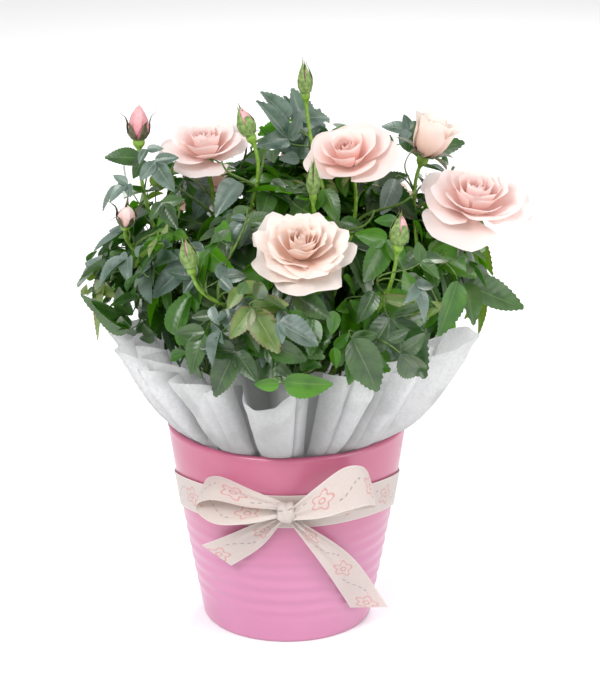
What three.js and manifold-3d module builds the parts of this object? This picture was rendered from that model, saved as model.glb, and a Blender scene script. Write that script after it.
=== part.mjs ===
// A patio rose in a glazed pot, dressed with a gathered tissue collar and a ribbon bow.
// Millimetres, +Z up. The origin is the centre of the pot's underside, and the bow faces -Y.
import * as THREE from "three";
import { mergeVertices } from "three/addons/utils/BufferGeometryUtils.js";
import Module from "manifold-3d";

const wasm = await Module();
wasm.setup();

// ---------------------------------------------------------------- driving dimensions

const GAP = 0.35; // clearance between pieces that rest on each other

const POT_HEIGHT = 140;
const POT_RIM_RADIUS = 80;
const POT_BASE_RADIUS = 57;
const POT_BELLY = 0.05; // how far the wall bows out, as a share of its taper
const POT_WALL = 5;
const POT_FLOOR = 8;
const POT_SIDES = 40;

const COMPOST_TOP = 118;
const COLLAR_SHEET = 1.0;
const COLLAR_FOOT = 97; // the tissue reaches down inside the pot to here
const COLLAR_WAIST = POT_HEIGHT + 0.6; // above this it flares
const COLLAR_TOP = 198; // mean height of its free edge
const COLLAR_CORNER = 12; // how far a sheet's corner stands above that edge
const COLLAR_CORNERS = 7;
const COLLAR_CORNER_OUT = 5; // and outside it
const COLLAR_FLARE_RADIUS = 109;
const COLLAR_BULGE = 0.62; // under 1 the sheets spread out low down
const COLLAR_PLEATS = 21;
const COLLAR_PLEAT_DEPTH = 3.6;
const COLLAR_SIDES = 63;

const RIBBON_WIDTH = 24;
const RIBBON_SHEET = 0.9;
const BAND_HEIGHT = 89; // middle of the band at the pot's sides
const BAND_LIFT = 13; // how much higher the bow pulls it at the front
const KNOT_HEIGHT = 105;
const KNOT_RADIUS = 7.5;
const KNOT_DEPTH = 6; // half of its size from front to back

const ROOTSTOCK_RADIUS = 12;
const ROOTSTOCK_HEIGHT = 25;
const CANE_FOOT_RADIUS = 2.3;
const CANE_TIP_RADIUS = 1.9;
const CANE_TIP_HEIGHT = 182; // canes end here, where the foliage begins
const CANE_TIP_SPREAD = 0.42; // a cane's tip lies at this share of its flower's reach
const SIDE_SHOOT_RADIUS = 1.5;
const FLOWER_STALK_RADIUS = 1.2;
const STALK_FOOT_RADIUS = 0.9; // leaf stalks
const STALK_END_RADIUS = 0.5;
const SEPAL_LENGTH = 14;
const HIP_HEIGHT = 9; // from the neck of a flower to its seat

const CROWN_CENTRE = 245;
const CROWN_RADIUS_X = 149;
const CROWN_RADIUS_Y = 138;
const CROWN_SHIFT_X = 7;
const CROWN_RISE = 110; // from the crown's centre to its top
const CROWN_SQUARENESS = 2.6; // 2 is an ellipsoid, more is a barrel

const LEAFLET_LENGTH = 38;
const LEAF_THICK = 0.05; // shares of a leaflet's length
const LEAF_FOLD = 0.12;
const LEAF_DROOP = 0.09;
const LEAF_CLEARANCE = 4.5; // between the blades and stalks of different leaves
const LIMB_CLEARANCE = 3.4; // from a leaf to the middle of a cane or stem
const TISSUE_CLEARANCE = 5;
const BLOOM_SPACE = { below: 6, above: 50, beside: 3 }; // kept free round an open flower's seat
const BUD_SPACE = { below: 10, above: 30, beside: 5 };
const LEAF_HUB = 0.42;

// Half a leaf's outline in leaflet lengths, along and across, from its root to its tip: one side
// leaflet's edge, its tip, the notch, and the widest place of the tip leaflet.
const LEAF_OUTLINE = [
  [0, 0],
  [0.118, 0.4],
  [0.56, 0.675],
  [0.5, 0.13],
  [0.8, 0.31],
  [1.36, 0],
];
const TIP_LEAFLET_AT = 0.36;
const SIDE_SIZES = [1, 0.6, 0.12];
const STALK_END = 0.32; // the stalk comes up from behind and ends inside the blade here
const PLACED_NUDGES = [0, 7, -7, 14, -14, 22];
const FACE_SCATTER = 1.1;
const TURN_SCATTER = 1.9;
const SIZE_SCATTER = [0.82, 1.18];
const HANG = { outward: 0.6, down: 0.8 };
const LEAF_TURNS = [0, 0.7, -0.7, 1.4, -1.4, 2.4, -2.4];

// Shells of the crown that leaves are tried on: spacing is how far apart their middles stay.
const SHELLS = [
  { tries: 800, scale: 0.87, size: 1, spacing: 22, start: 0.4 },
  { tries: 600, scale: 0.88, size: 0.66, spacing: 19, start: 1.3 },
  { tries: 300, scale: 0.66, size: 1, spacing: 32, start: 2.1 },
];
const SEED = 2024;

// Leaves that make the crown's outline and lie foremost: each tip leaflet runs from one point to another.
const PLACED_LEAVES = [
  { from: [-94, -5, 316], to: [-115, -12, 321] },
  { from: [-95, -12, 307], to: [-113, -22, 298] },
  { from: [-103, -25, 272], to: [-123, -35, 262] },
  { from: [-109, -20, 251], to: [-135, -25, 248] },
  { from: [-101, -30, 214], to: [-131, -30, 222] },
  { from: [-95, -45, 235], to: [-113, -55, 237] },
  { from: [-1, 30, 332], to: [-16, 32, 353] },
  { from: [9, 42, 312], to: [2, 45, 347] },
  { from: [9, 40, 333], to: [28, 38, 335] },
  { from: [-16, 25, 331], to: [-43, 20, 336] },
  { from: [7, 25, 301], to: [-19, 20, 326] },
  { from: [83, 28, 321], to: [64, 25, 328] },
  { from: [88, 10, 295], to: [119, 15, 313] },
  { from: [116, -20, 233], to: [154, -20, 218] },
  { from: [114, -15, 236], to: [138, -5, 234] },
  { from: [114, -10, 260], to: [130, -10, 251] },
  { from: [105, -45, 252], to: [97, -60, 220] },
  { from: [66, -85, 228], to: [89, -80, 219] },
  { from: [69, -105, 225], to: [86, -95, 203] },
  { from: [36, -112, 239], to: [58, -120, 199] },
  { from: [-28, -110, 227], to: [-46, -120, 197] },
  { from: [0, -112, 210], to: [28, -118, 207] },
  { from: [3, -115, 210], to: [-19, -120, 210] },
  { from: [7, -105, 252], to: [27, -118, 242] },
  { from: [-50, -100, 230], to: [-60, -112, 210] },
  { from: [-39, -105, 267], to: [-23, -100, 270] },
  { from: [-25, -75, 289], to: [-37, -85, 274] },
  { from: [-79, -45, 300], to: [-68, -55, 283] },
  { from: [31, -55, 309], to: [48, -65, 281] },
  { from: [-58, -90, 260], to: [-74, -88, 262] },
];

// ---------------------------------------------------------------- shoots

// One row for each cane. Its first flower ends the cane's own stem, and the others end side shoots.
// A flower is given by the middle of its head and the way it faces.
const SHOOTS = [
  {
    name: "front",
    flowers: [
      { name: "front", head: [9, -85, 283], faces: [0.05, -0.5, 0.86], kind: "bloom", across: 68 },
      { name: "front_left", head: [-60, -90, 279], faces: [-0.2, -0.1, 0.97], kind: "bud", across: 11 },
    ],
  },
  {
    name: "front_right",
    flowers: [
      { name: "front_right", head: [70, -80, 291], faces: [0.1, 0, 1], kind: "bud", across: 12 },
    ],
  },
  {
    name: "right",
    flowers: [
      { name: "right", head: [121, -15, 294], faces: [0.08, -0.38, 0.92], kind: "bloom", across: 68 },
      { name: "upper_right", head: [94, 20, 324], faces: [0.35, -0.1, 0.93], kind: "half_open", across: 26 },
    ],
  },
  {
    name: "back_right",
    flowers: [
      { name: "back_right", head: [72, 90, 264], faces: [0.45, 0.55, 0.74], kind: "bloom", across: 64 },
    ],
  },
  {
    name: "back_left",
    flowers: [
      { name: "back_left", head: [-60, 96, 272], faces: [-0.4, 0.6, 0.72], kind: "bloom", across: 62 },
      { name: "back", head: [0, 104, 288], faces: [0, 0.35, 0.93], kind: "pink_bud", across: 14 },
    ],
  },
  {
    name: "left",
    flowers: [
      { name: "left", head: [-95, 0, 339], faces: [0, 0, 1], kind: "pink_bud", across: 14 },
      { name: "low_left", head: [-101, -40, 291], faces: [0.1, -0.5, 0.8], kind: "pink_bud", across: 12 },
    ],
  },
  {
    name: "upper_left",
    flowers: [
      { name: "upper_left", head: [-53, 15, 323], faces: [-0.1, -0.3, 0.95], kind: "bloom", across: 58 },
      { name: "upper", head: [-26, -15, 344], faces: [-0.35, 0, 0.94], kind: "bud", across: 12 },
    ],
  },
  {
    name: "top",
    flowers: [
      { name: "top", head: [39, -20, 325], faces: [-0.2, -0.45, 0.87], kind: "bloom", across: 64 },
      { name: "topmost", head: [12, 25, 363], faces: [-0.05, 0, 1], kind: "bud", across: 10 },
      { name: "middle", head: [17, -42, 313], faces: [0, -0.1, 1], kind: "bud", across: 9 },
    ],
  },
];

// ---------------------------------------------------------------- small tools

const vec = (x, y, z) => new THREE.Vector3(x, y, z);
const UP = vec(0, 0, 1);
const lerp = THREE.MathUtils.lerp;
const radians = THREE.MathUtils.degToRad;

// Repeatable numbers from 0 to 1.
function seeded(seed) {
  let state = seed >>> 0;
  return () => {
    state = (Math.imul(state, 1664525) + 1013904223) >>> 0;
    return state / 4294967296;
  };
}

// Carries each point of a geometry through a function that moves it.
function reshape(geometry, move) {
  const position = geometry.getAttribute("position");
  const point = vec(0, 0, 0);
  for (let i = 0; i < position.count; i++) {
    point.fromBufferAttribute(position, i);
    move(point);
    position.setXYZ(i, point.x, point.y, point.z);
  }
  return geometry;
}

// A closed geometry as a solid that can be cut and joined.
function solidOf(geometry) {
  const bare = new THREE.BufferGeometry();
  bare.setAttribute("position", geometry.getAttribute("position"));
  bare.setIndex(geometry.getIndex());
  const merged = mergeVertices(bare, 1e-4);
  const triVerts = new Uint32Array(merged.getIndex().array);
  const whole = [];
  for (let i = 0; i < triVerts.length; i += 3) {
    const [a, b, c] = triVerts.subarray(i, i + 3);
    if (a !== b && b !== c && c !== a) whole.push(a, b, c);
  }
  return new wasm.Manifold(
    new wasm.Mesh({
      numProp: 3,
      vertProperties: merged.getAttribute("position").array,
      triVerts: new Uint32Array(whole),
    }),
  );
}

function geometryOf(solid) {
  const mesh = solid.getMesh();
  const geometry = new THREE.BufferGeometry();
  geometry.setAttribute("position", new THREE.BufferAttribute(mesh.vertProperties, 3));
  geometry.setIndex(new THREE.BufferAttribute(mesh.triVerts, 1));
  return geometry;
}

function paint(hex, roughness, metalness = 0) {
  return new THREE.MeshStandardMaterial({ color: hex, roughness, metalness });
}

function named(name, geometry, material) {
  const mesh = new THREE.Mesh(geometry, material.clone());
  mesh.name = name;
  return mesh;
}

// A profile of [radius, height] pairs turned about the Z axis, from the axis back to the axis.
function turned(profile, sides) {
  const points = profile.map(([radius, height]) => new THREE.Vector2(radius, height));
  return new THREE.LatheGeometry(points, sides).rotateX(Math.PI / 2);
}

// A tapering limb: a closed cylinder bent along a curve.
function limb(curve, footRadius, tipRadius, sides, steps) {
  const chord = curve.getPoint(1).sub(curve.getPoint(0)).normalize();
  const reference = Math.abs(chord.z) < 0.8 ? UP : vec(1, 0, 0);
  return reshape(new THREE.CylinderGeometry(1, 1, 1, sides, steps), (p) => {
    const t = p.y + 0.5;
    const tangent = curve.getTangent(t);
    const across = vec(0, 0, 0).crossVectors(tangent, reference).normalize();
    const over = vec(0, 0, 0).crossVectors(across, tangent);
    const radius = lerp(footRadius, tipRadius, t);
    const { x, z } = p;
    p.copy(curve.getPoint(t)).addScaledVector(across, x * radius).addScaledVector(over, z * radius);
  });
}

const PAINTS = {
  pot: paint(0xd9689b, 0.3),
  compost: paint(0x2e211a, 0.95),
  tissue: paint(0xe9e8ec, 0.8),
  ribbon: paint(0xf3e6d8, 0.7),
  bark: paint(0x5d6b35, 0.7),
  leaf: paint(0x2f5a2c, 0.5),
  petal: paint(0xf6cfc6, 0.6),
};

// ---------------------------------------------------------------- pot and compost

function potRadius(z) {
  const t = z / POT_HEIGHT;
  const taper = POT_RIM_RADIUS - POT_BASE_RADIUS;
  return POT_BASE_RADIUS + taper * (t + POT_BELLY * Math.sin(Math.PI * t));
}

function pot() {
  const foot = 3;
  const lip = POT_WALL / 2;
  const wallRows = 3;
  const profile = [
    [0, 0],
    [POT_BASE_RADIUS - foot, 0],
    [POT_BASE_RADIUS - 0.6, foot / 3],
  ];
  for (let i = 0; i <= wallRows; i++) {
    const z = lerp(foot, POT_HEIGHT - lip, i / wallRows);
    profile.push([potRadius(z), z]);
  }
  for (const angle of [50, 130]) {
    const lipAngle = radians(angle);
    const middle = POT_RIM_RADIUS - lip;
    profile.push([middle + lip * Math.cos(lipAngle), POT_HEIGHT - lip + lip * Math.sin(lipAngle)]);
  }
  for (const z of [POT_HEIGHT - lip, COLLAR_FOOT, POT_FLOOR]) {
    profile.push([potRadius(z) - POT_WALL, z]);
  }
  profile.push([0, POT_FLOOR]);
  return named("pot", turned(profile, POT_SIDES), PAINTS.pot);
}

// The space between compost and pot wall takes the tissue and its clearances.
function compostRadius(z) {
  return potRadius(z) - POT_WALL - COLLAR_SHEET - 3.2 * GAP;
}

function compost() {
  const foot = POT_FLOOR + GAP;
  const profile = [
    [0, foot],
    [compostRadius(foot), foot],
    [compostRadius(COMPOST_TOP), COMPOST_TOP],
    [0, COMPOST_TOP],
  ];
  return named("compost", turned(profile, POT_SIDES), PAINTS.compost);
}

// ---------------------------------------------------------------- tissue collar

// Corners stand up where the square sheets' corners are, the first on the right at +X.
function cornerLift(angle) {
  return 1 - 2 * Math.abs(Math.sin((COLLAR_CORNERS * angle) / 2));
}

function collarTop(angle) {
  return COLLAR_TOP + COLLAR_CORNER * cornerLift(angle);
}

// The radius of the tissue's middle at an angle and a height.
function collarRadius(angle, z) {
  const lining = potRadius(Math.min(z, COLLAR_WAIST)) - POT_WALL - 2 * GAP - COLLAR_SHEET / 2;
  if (z <= COLLAR_WAIST) return lining;
  const rise = (z - COLLAR_WAIST) / (COLLAR_TOP - COLLAR_WAIST);
  const flare = lerp(lining, COLLAR_FLARE_RADIUS, rise ** COLLAR_BULGE);
  const pleat = Math.sin(COLLAR_PLEATS * angle) * COLLAR_PLEAT_DEPTH;
  const corner = COLLAR_CORNER_OUT * cornerLift(angle);
  return flare + (pleat + corner) * Math.min(1, rise) ** 1.3;
}

function collar() {
  const rows = 4;
  const insideOut = 2 * rows + 2; // out up the outer face, over the edge, down the inner face
  const profile = Array.from({ length: insideOut }, (_, i) => new THREE.Vector2(1 + i, i));
  profile.push(profile[0].clone());
  const ring = new THREE.LatheGeometry(profile, COLLAR_SIDES).rotateX(Math.PI / 2);
  reshape(ring, (p) => {
    const angle = Math.atan2(p.y, p.x);
    const index = Math.round(p.z);
    const outer = index <= rows;
    const row = outer ? index : insideOut - 1 - index;
    const rise = Math.max(0, (row - 1) / (rows - 1)) ** 1.5;
    const height = row ? lerp(COLLAR_WAIST, collarTop(angle), rise) : COLLAR_FOOT;
    const radius = collarRadius(angle, height) + (outer ? 0.5 : -0.5) * COLLAR_SHEET;
    p.set(radius * Math.cos(angle), radius * Math.sin(angle), height);
  });
  return named("tissue_collar", ring, PAINTS.tissue);
}

// ---------------------------------------------------------------- ribbon

function bandMiddle(angle) {
  const front = Math.max(0, -Math.sin(angle));
  return BAND_HEIGHT + BAND_LIFT * (1 - (1 - front) ** 2);
}

function band() {
  const corners = [
    [0, -1],
    [1, -1],
    [1, 0],
    [1, 1],
    [0, 1],
    [0, 0],
    [0, -1],
  ];
  const profile = corners.map(([out, up]) => new THREE.Vector2(10 + out, up));
  const ring = new THREE.LatheGeometry(profile, POT_SIDES).rotateX(Math.PI / 2);
  reshape(ring, (p) => {
    const angle = Math.atan2(p.y, p.x);
    const out = Math.round(Math.hypot(p.x, p.y) - 10);
    const z = bandMiddle(angle) + (p.z * RIBBON_WIDTH) / 2;
    const radius = potRadius(z) + 1.5 * GAP + out * RIBBON_SHEET;
    p.set(radius * Math.cos(angle), radius * Math.sin(angle), z);
  });
  return named("ribbon_band", ring, PAINTS.ribbon);
}

// A tail of the bow: a strip between two edges, each drawn through three points.
function tail(name, leftEdge, rightEdge) {
  const left = new THREE.CatmullRomCurve3(leftEdge.map((p) => vec(...p)));
  const right = new THREE.CatmullRomCurve3(rightEdge.map((p) => vec(...p)));
  const strip = reshape(new THREE.BoxGeometry(1, 1, 1, 8, 1, 1), (p) => {
    const t = p.x + 0.5;
    const across = right.getPoint(t).sub(left.getPoint(t));
    const face = vec(0, 0, 0).crossVectors(left.getTangent(t), across).normalize();
    const over = p.z * RIBBON_SHEET;
    const share = p.y + 0.5;
    p.copy(left.getPoint(t)).addScaledVector(across, share).addScaledVector(face, over);
  });
  return named(name, strip, PAINTS.ribbon);
}

// A bow's loop: a strip that leaves the knot, turns round and comes back behind itself.
function loop(name, points, lean) {
  const steps = 16;
  const path = new THREE.CatmullRomCurve3(points.map((p) => vec(...p)));
  const strip = reshape(new THREE.BoxGeometry(1, 1, 1, steps, 1, 1), (p) => {
    const t = p.x + 0.5;
    const width = RIBBON_WIDTH * (0.42 + 0.66 * Math.sin(Math.PI * t));
    const tangent = path.getTangent(t);
    const across = vec(lean, 0, 1).addScaledVector(tangent, -vec(lean, 0, 1).dot(tangent)).normalize();
    const out = vec(0, 0, 0).crossVectors(tangent, across);
    const { y, z } = p;
    p.copy(path.getPoint(t)).addScaledVector(across, y * width).addScaledVector(out, z * RIBBON_SHEET);
  });
  return named(name, strip, PAINTS.ribbon);
}

function bow() {
  const face = potRadius(KNOT_HEIGHT) + 4 * GAP + RIBBON_SHEET; // in front of the band
  const nearKnot = -face - KNOT_DEPTH;
  const knot = new THREE.SphereGeometry(1, 10, 8).scale(KNOT_RADIUS, KNOT_DEPTH, KNOT_RADIUS);
  knot.translate(0, nearKnot, KNOT_HEIGHT);
  const leftLoop = [
    [-6.9, nearKnot - 2.5, KNOT_HEIGHT + 1],
    [-28, nearKnot - 10, KNOT_HEIGHT + 5],
    [-50, nearKnot - 3, KNOT_HEIGHT + 4],
    [-57, nearKnot + 9, KNOT_HEIGHT + 2],
    [-46, nearKnot + 15, KNOT_HEIGHT + 1],
    [-26, nearKnot + 5, KNOT_HEIGHT],
    [-6.9, nearKnot + 2.5, KNOT_HEIGHT],
  ];
  const rightLoop = [
    [6.9, nearKnot - 2.5, KNOT_HEIGHT + 2],
    [25, nearKnot - 11, KNOT_HEIGHT + 10],
    [45, nearKnot - 8, KNOT_HEIGHT + 13],
    [57, nearKnot + 4, KNOT_HEIGHT + 10],
    [48, nearKnot + 14, KNOT_HEIGHT + 5],
    [27, nearKnot + 5, KNOT_HEIGHT + 2],
    [6.9, nearKnot + 2.5, KNOT_HEIGHT],
  ];
  const leftTail = [
    [[-1.6, -82.5, 96.6], [-16, -74, 77], [-36, -63, 59]],
    [[-7, -82.5, 99.8], [-30, -73, 88], [-56, -56, 70]],
  ];
  const rightTail = [
    [[1.6, -82.5, 96.6], [25, -70, 59], [43, -50, 21]],
    [[7, -82.5, 99.8], [42, -64, 66], [68, -38, 17]],
  ];
  return [
    named("bow_knot", knot, PAINTS.ribbon),
    loop("bow_loop_left", leftLoop, 0.1),
    loop("bow_loop_right", rightLoop, 0.25),
    tail("bow_tail_left", ...leftTail),
    tail("bow_tail_right", ...rightTail),
  ];
}

// ---------------------------------------------------------------- rootstock and canes

function rootstockProfile(grow) {
  const foot = COMPOST_TOP + GAP;
  const top = ROOTSTOCK_HEIGHT + grow;
  const r = ROOTSTOCK_RADIUS;
  return [
    [0, foot - grow],
    [r - 1 + grow, foot - grow],
    [r - 4 + grow, foot + 5],
    [r - 3 + grow, foot + 10],
    [r + grow, foot + 16],
    [r - 1 + grow, foot + 20 + grow / 2],
    [r - 6 + grow / 2, foot + top - 1],
    [0, foot + top],
  ];
}

function rootstock() {
  return named("rootstock", turned(rootstockProfile(0), 12), PAINTS.bark);
}

const HEAD_HEIGHTS = { bloom: 11, half_open: 12, pink_bud: 9, bud: 8 };

function flowerPlan({ name, head, faces, kind, across }) {
  const axis = vec(...faces).normalize();
  const seat = vec(...head).addScaledVector(axis, -HEAD_HEIGHTS[kind]);
  return { name, axis, seat, kind, across, neck: seat.clone().addScaledVector(axis, 1 - HIP_HEIGHT) };
}

// Where a shoot's parts lie: the tip of its cane, and its flowers.
function plan(shoot) {
  const [x, y] = shoot.flowers[0].head;
  const reach = Math.hypot(x, y);
  const outward = vec(x / reach, y / reach, 0);
  const tip = vec(x * CANE_TIP_SPREAD, y * CANE_TIP_SPREAD, CANE_TIP_HEIGHT);
  const rise = UP.clone().addScaledVector(outward, Math.min(0.75, reach / 160)).normalize();
  return { name: shoot.name, flowers: shoot.flowers.map(flowerPlan), tip, outward, rise };
}

function bend(foot, footWay, tip, tipWay, pull = 0.36) {
  const span = foot.distanceTo(tip) * pull;
  return new THREE.CubicBezierCurve3(
    foot,
    foot.clone().addScaledVector(footWay, span),
    tip.clone().addScaledVector(tipWay, -span),
    tip,
  );
}

const plans = SHOOTS.map(plan);

const STEEP_REACH = 20;

// Canes stand round the rootstock in the order of their tips, the steep ones on its top.
function caneFeet() {
  const foot = COMPOST_TOP + GAP;
  const steep = plans.filter((p) => Math.hypot(p.tip.x, p.tip.y) < STEEP_REACH);
  const ring = plans.filter((p) => !steep.includes(p));
  ring.sort((a, b) => Math.atan2(a.tip.y, a.tip.x) - Math.atan2(b.tip.y, b.tip.x));
  const start = Math.atan2(ring[0].tip.y, ring[0].tip.x);
  ring.forEach((p, i) => {
    const angle = start + (2 * Math.PI * i) / ring.length;
    p.footWay = vec(Math.cos(angle), Math.sin(angle), 1).normalize();
    p.foot = vec(Math.cos(angle) * 5, Math.sin(angle) * 5, foot + ROOTSTOCK_HEIGHT - 11);
  });
  steep.forEach((p) => {
    const angle = Math.atan2(p.tip.y, p.tip.x);
    p.footWay = vec(0.25 * Math.cos(angle), 0.25 * Math.sin(angle), 1).normalize();
    p.foot = vec(Math.cos(angle) * 3.4, Math.sin(angle) * 3.4, foot + ROOTSTOCK_HEIGHT - 6);
  });
}
caneFeet();

const FORKS = [0.3, 0.5]; // where side shoots leave the stem

for (const p of plans) {
  const [main, ...others] = p.flowers;
  p.caneCurve = bend(p.foot, p.footWay, p.tip, p.rise);
  const stemFoot = p.tip.clone().addScaledVector(p.rise, GAP);
  p.stems = [bend(stemFoot, p.rise, main.neck, main.axis)];
  others.forEach((flower, i) => {
    const fork = p.stems[0].getPoint(FORKS[i]);
    const way = p.stems[0].getTangent(FORKS[i]);
    p.stems.push(bend(fork, way, flower.neck, flower.axis, 0.3));
  });
}

function cane(p) {
  const whole = solidOf(limb(p.caneCurve, CANE_FOOT_RADIUS, CANE_TIP_RADIUS, 5, 5));
  const socket = solidOf(turned(rootstockProfile(GAP), 12));
  return named("cane_" + p.name, geometryOf(whole.subtract(socket)), PAINTS.bark);
}

// ---------------------------------------------------------------- space that each mass keeps to

// The barrel-shaped envelope: under 1 inside it.
function crownShare(p) {
  const flat = Math.hypot((p.x - CROWN_SHIFT_X) / CROWN_RADIUS_X, p.y / CROWN_RADIUS_Y);
  const tall = Math.abs(p.z - CROWN_CENTRE) / CROWN_RISE;
  return Math.pow(flat ** CROWN_SQUARENESS + tall ** CROWN_SQUARENESS, 1 / CROWN_SQUARENESS);
}

const SITE_OUT = 14;

// The heart of a mass's space is the middle of its stems, moved outward.
for (const p of plans) {
  p.site = vec(0, 0, 0);
  for (const stem of p.stems) p.site.addScaledVector(stem.getPoint(0.5), 1 / p.stems.length);
  p.site.addScaledVector(p.outward, SITE_OUT);
}

function nearestPlan(point) {
  return plans.reduce((best, p) => (point.distanceTo(p.site) < point.distanceTo(best.site) ? p : best));
}

const CELL_MARGIN = 0.6;

// A point is in a mass's own space when it is clear of every halfway plane to another mass.
function inOwnSpace(point, own) {
  return plans.every((other) => {
    if (other === own) return true;
    const apart = other.site.clone().sub(own.site);
    const halfway = own.site.clone().add(other.site).multiplyScalar(0.5);
    return point.clone().sub(halfway).dot(apart) / apart.length() < -CELL_MARGIN;
  });
}

const limbs = plans.flatMap((p) => [
  { owner: null, points: p.caneCurve.getPoints(8) },
  ...p.stems.map((stem) => ({ owner: p, points: stem.getPoints(10) })),
]);

function nearLimb(point, own, clearance) {
  const onLine = vec(0, 0, 0);
  return limbs.some(({ owner, points }) => {
    if (owner && owner === own) return false;
    return points.slice(1).some((end, i) => {
      new THREE.Line3(points[i], end).closestPointToPoint(point, true, onLine);
      return onLine.distanceTo(point) < clearance;
    });
  });
}

const flowers = plans.flatMap((p) => p.flowers);

// Flowers stand free: nothing comes near a head, nor in front of an open one.
function nearFlower(point) {
  return flowers.some(({ seat, axis, kind, across }) => {
    const from = point.clone().sub(seat);
    const height = from.dot(axis);
    const reach = Math.sqrt(Math.max(0, from.lengthSq() - height * height));
    const space = kind === "bloom" ? BLOOM_SPACE : BUD_SPACE;
    return height > -space.below && height < space.above && reach < across / 2 + space.beside;
  });
}

// Where a point lies from the tissue collar.
function besideCollar(p) {
  const angle = Math.atan2(p.y, p.x);
  if (p.z > collarTop(angle) + 3) return "above";
  const off = Math.hypot(p.x, p.y) - collarRadius(angle, p.z);
  if (Math.abs(off) < TISSUE_CLEARANCE) return "touching";
  return off > 0 ? "outside" : "inside";
}

// A blade beside the tissue stays wholly inside it, wholly outside it or wholly above it.
function bladeCrossesCollar(points) {
  const places = points.map(besideCollar);
  return places.includes("touching") || (places.includes("outside") && places.includes("inside"));
}

// A stalk may pass over the tissue's edge but not through it.
function stalkCrossesCollar(points) {
  const places = points.map(besideCollar);
  return places.some((place, i) => {
    if (place === "touching") return true;
    const last = places[i - 1];
    return place !== "above" && last && last !== "above" && last !== place;
  });
}

function fits(points, own) {
  if (points.some((p) => crownShare(p) > 1 || !inOwnSpace(p, own))) return false;
  if (points.some((p) => nearFlower(p) || isTaken(p, own))) return false;
  if (points.some((p) => nearLimb(p, null, LIMB_CLEARANCE))) return false;
  return !bladeCrossesCollar(points);
}

// Leaves of the same mass keep clear of each other.
function isTaken(point, own) {
  return own.taken.some((other) => other.distanceToSquared(point) < LEAF_CLEARANCE ** 2);
}

// ---------------------------------------------------------------- leaves

// A point in a blade's frame: along its midrib, across it and out of its face.
function bladePoint(blade, along, across, over) {
  return blade.root
    .clone()
    .addScaledVector(blade.way, along)
    .addScaledVector(blade.side, across)
    .addScaledVector(blade.face, over);
}

// The leaf's outline point by number, 0 at the root and 5 at the tip, up one side and down the other.
function outlinePoint(leaf, number) {
  const right = number <= 5;
  const step = right ? number : 10 - number;
  const grown = step > 0 && step < 3 ? leaf.sides[right ? 0 : 1] : 1;
  const [along, across] = LEAF_OUTLINE[step];
  const u = lerp(TIP_LEAFLET_AT, along, grown) * leaf.length;
  const v = across * grown * leaf.length * (right ? 1 : -1);
  const lift = LEAF_FOLD * Math.abs(v) - (LEAF_DROOP * u * u) / leaf.length;
  return bladePoint(leaf, u, v, lift);
}

function leafHub(leaf, over) {
  const u = LEAF_HUB * leaf.length;
  return bladePoint(leaf, u, 0, over - (LEAF_DROOP * u * u) / leaf.length);
}

// The compound leaf as one plate, thickest at its hub and sharp at its edge.
function leafSolid(leaf) {
  const sides = 10;
  const plate = reshape(new THREE.SphereGeometry(1, sides, 2), (p) => {
    const number = Math.round((Math.atan2(p.z, -p.x) * sides) / (2 * Math.PI) + sides) % sides;
    const pole = Math.abs(p.y) > 0.5;
    p.copy(pole ? leafHub(leaf, (p.y * leaf.length * LEAF_THICK) / 2) : outlinePoint(leaf, number));
  });
  return solidOf(plate);
}

// Points spread over the part of a leaf from one outline point to another.
function leafSamples(leaf, first, last) {
  const hub = leafHub(leaf, 0);
  const samples = [];
  for (let number = first; number < last; number++) {
    const from = outlinePoint(leaf, number % 10);
    const to = outlinePoint(leaf, (number + 1) % 10);
    for (const out of [0.33, 0.67, 1]) {
      for (const on of [0, 0.33, 0.67, 1]) samples.push(hub.clone().lerp(from.clone().lerp(to, on), out));
    }
  }
  return samples;
}

// The way out of the crown at a point.
function outwardAt(point) {
  return vec(
    (point.x - CROWN_SHIFT_X) / CROWN_RADIUS_X ** 2,
    point.y / CROWN_RADIUS_Y ** 2,
    (point.z - CROWN_CENTRE) / CROWN_RISE ** 2,
  ).normalize();
}

// Grows a leaf where its tip leaflet fits. Its side leaflets are full, small or left off, as they fit.
function growLeaf(leaf, own) {
  leaf.side = vec(0, 0, 0).crossVectors(leaf.way, leaf.face);
  leaf.sides = [1, 1];
  if (!fits(leafSamples(leaf, 3, 7), own)) return false;
  for (const [index, first] of [0, 7].entries()) {
    const size = SIDE_SIZES.find((each) => {
      leaf.sides[index] = each;
      return each < 0.3 || fits(leafSamples(leaf, first, first + 3), own);
    });
    leaf.sides[index] = size;
  }
  if (leaf.sides[0] + leaf.sides[1] < leaf.needs || !stalkTo(leaf, own)) return false;
  own.leaves.push(leaf);
  own.taken.push(...leaf.stalk.getPoints(12).slice(3), ...leafSamples(leaf, 0, 10));
  return true;
}

// A leaf that hangs like a shingle at a target, turned until it fits.
function shingleLeaf(target, own, random, scale) {
  const face = outwardAt(target).addScaledVector(UP, 0.6);
  face.x += FACE_SCATTER * (random() - 0.5);
  face.y += FACE_SCATTER * (random() - 0.5);
  face.normalize();
  const droop = vec(target.x, target.y, 0).normalize().multiplyScalar(HANG.outward);
  droop.addScaledVector(UP, -HANG.down);
  const drooping = droop.addScaledVector(face, -droop.dot(face)).normalize();
  const length = LEAFLET_LENGTH * scale * lerp(...SIZE_SCATTER, random());
  const firstTurn = (random() - 0.5) * TURN_SCATTER;
  for (const turn of LEAF_TURNS) {
    const way = drooping.clone().applyAxisAngle(face, firstTurn + turn);
    const root = target.clone().addScaledVector(way, -0.6 * length);
    if (growLeaf({ face, way, length, root, needs: 1 }, own)) return;
  }
}

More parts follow.
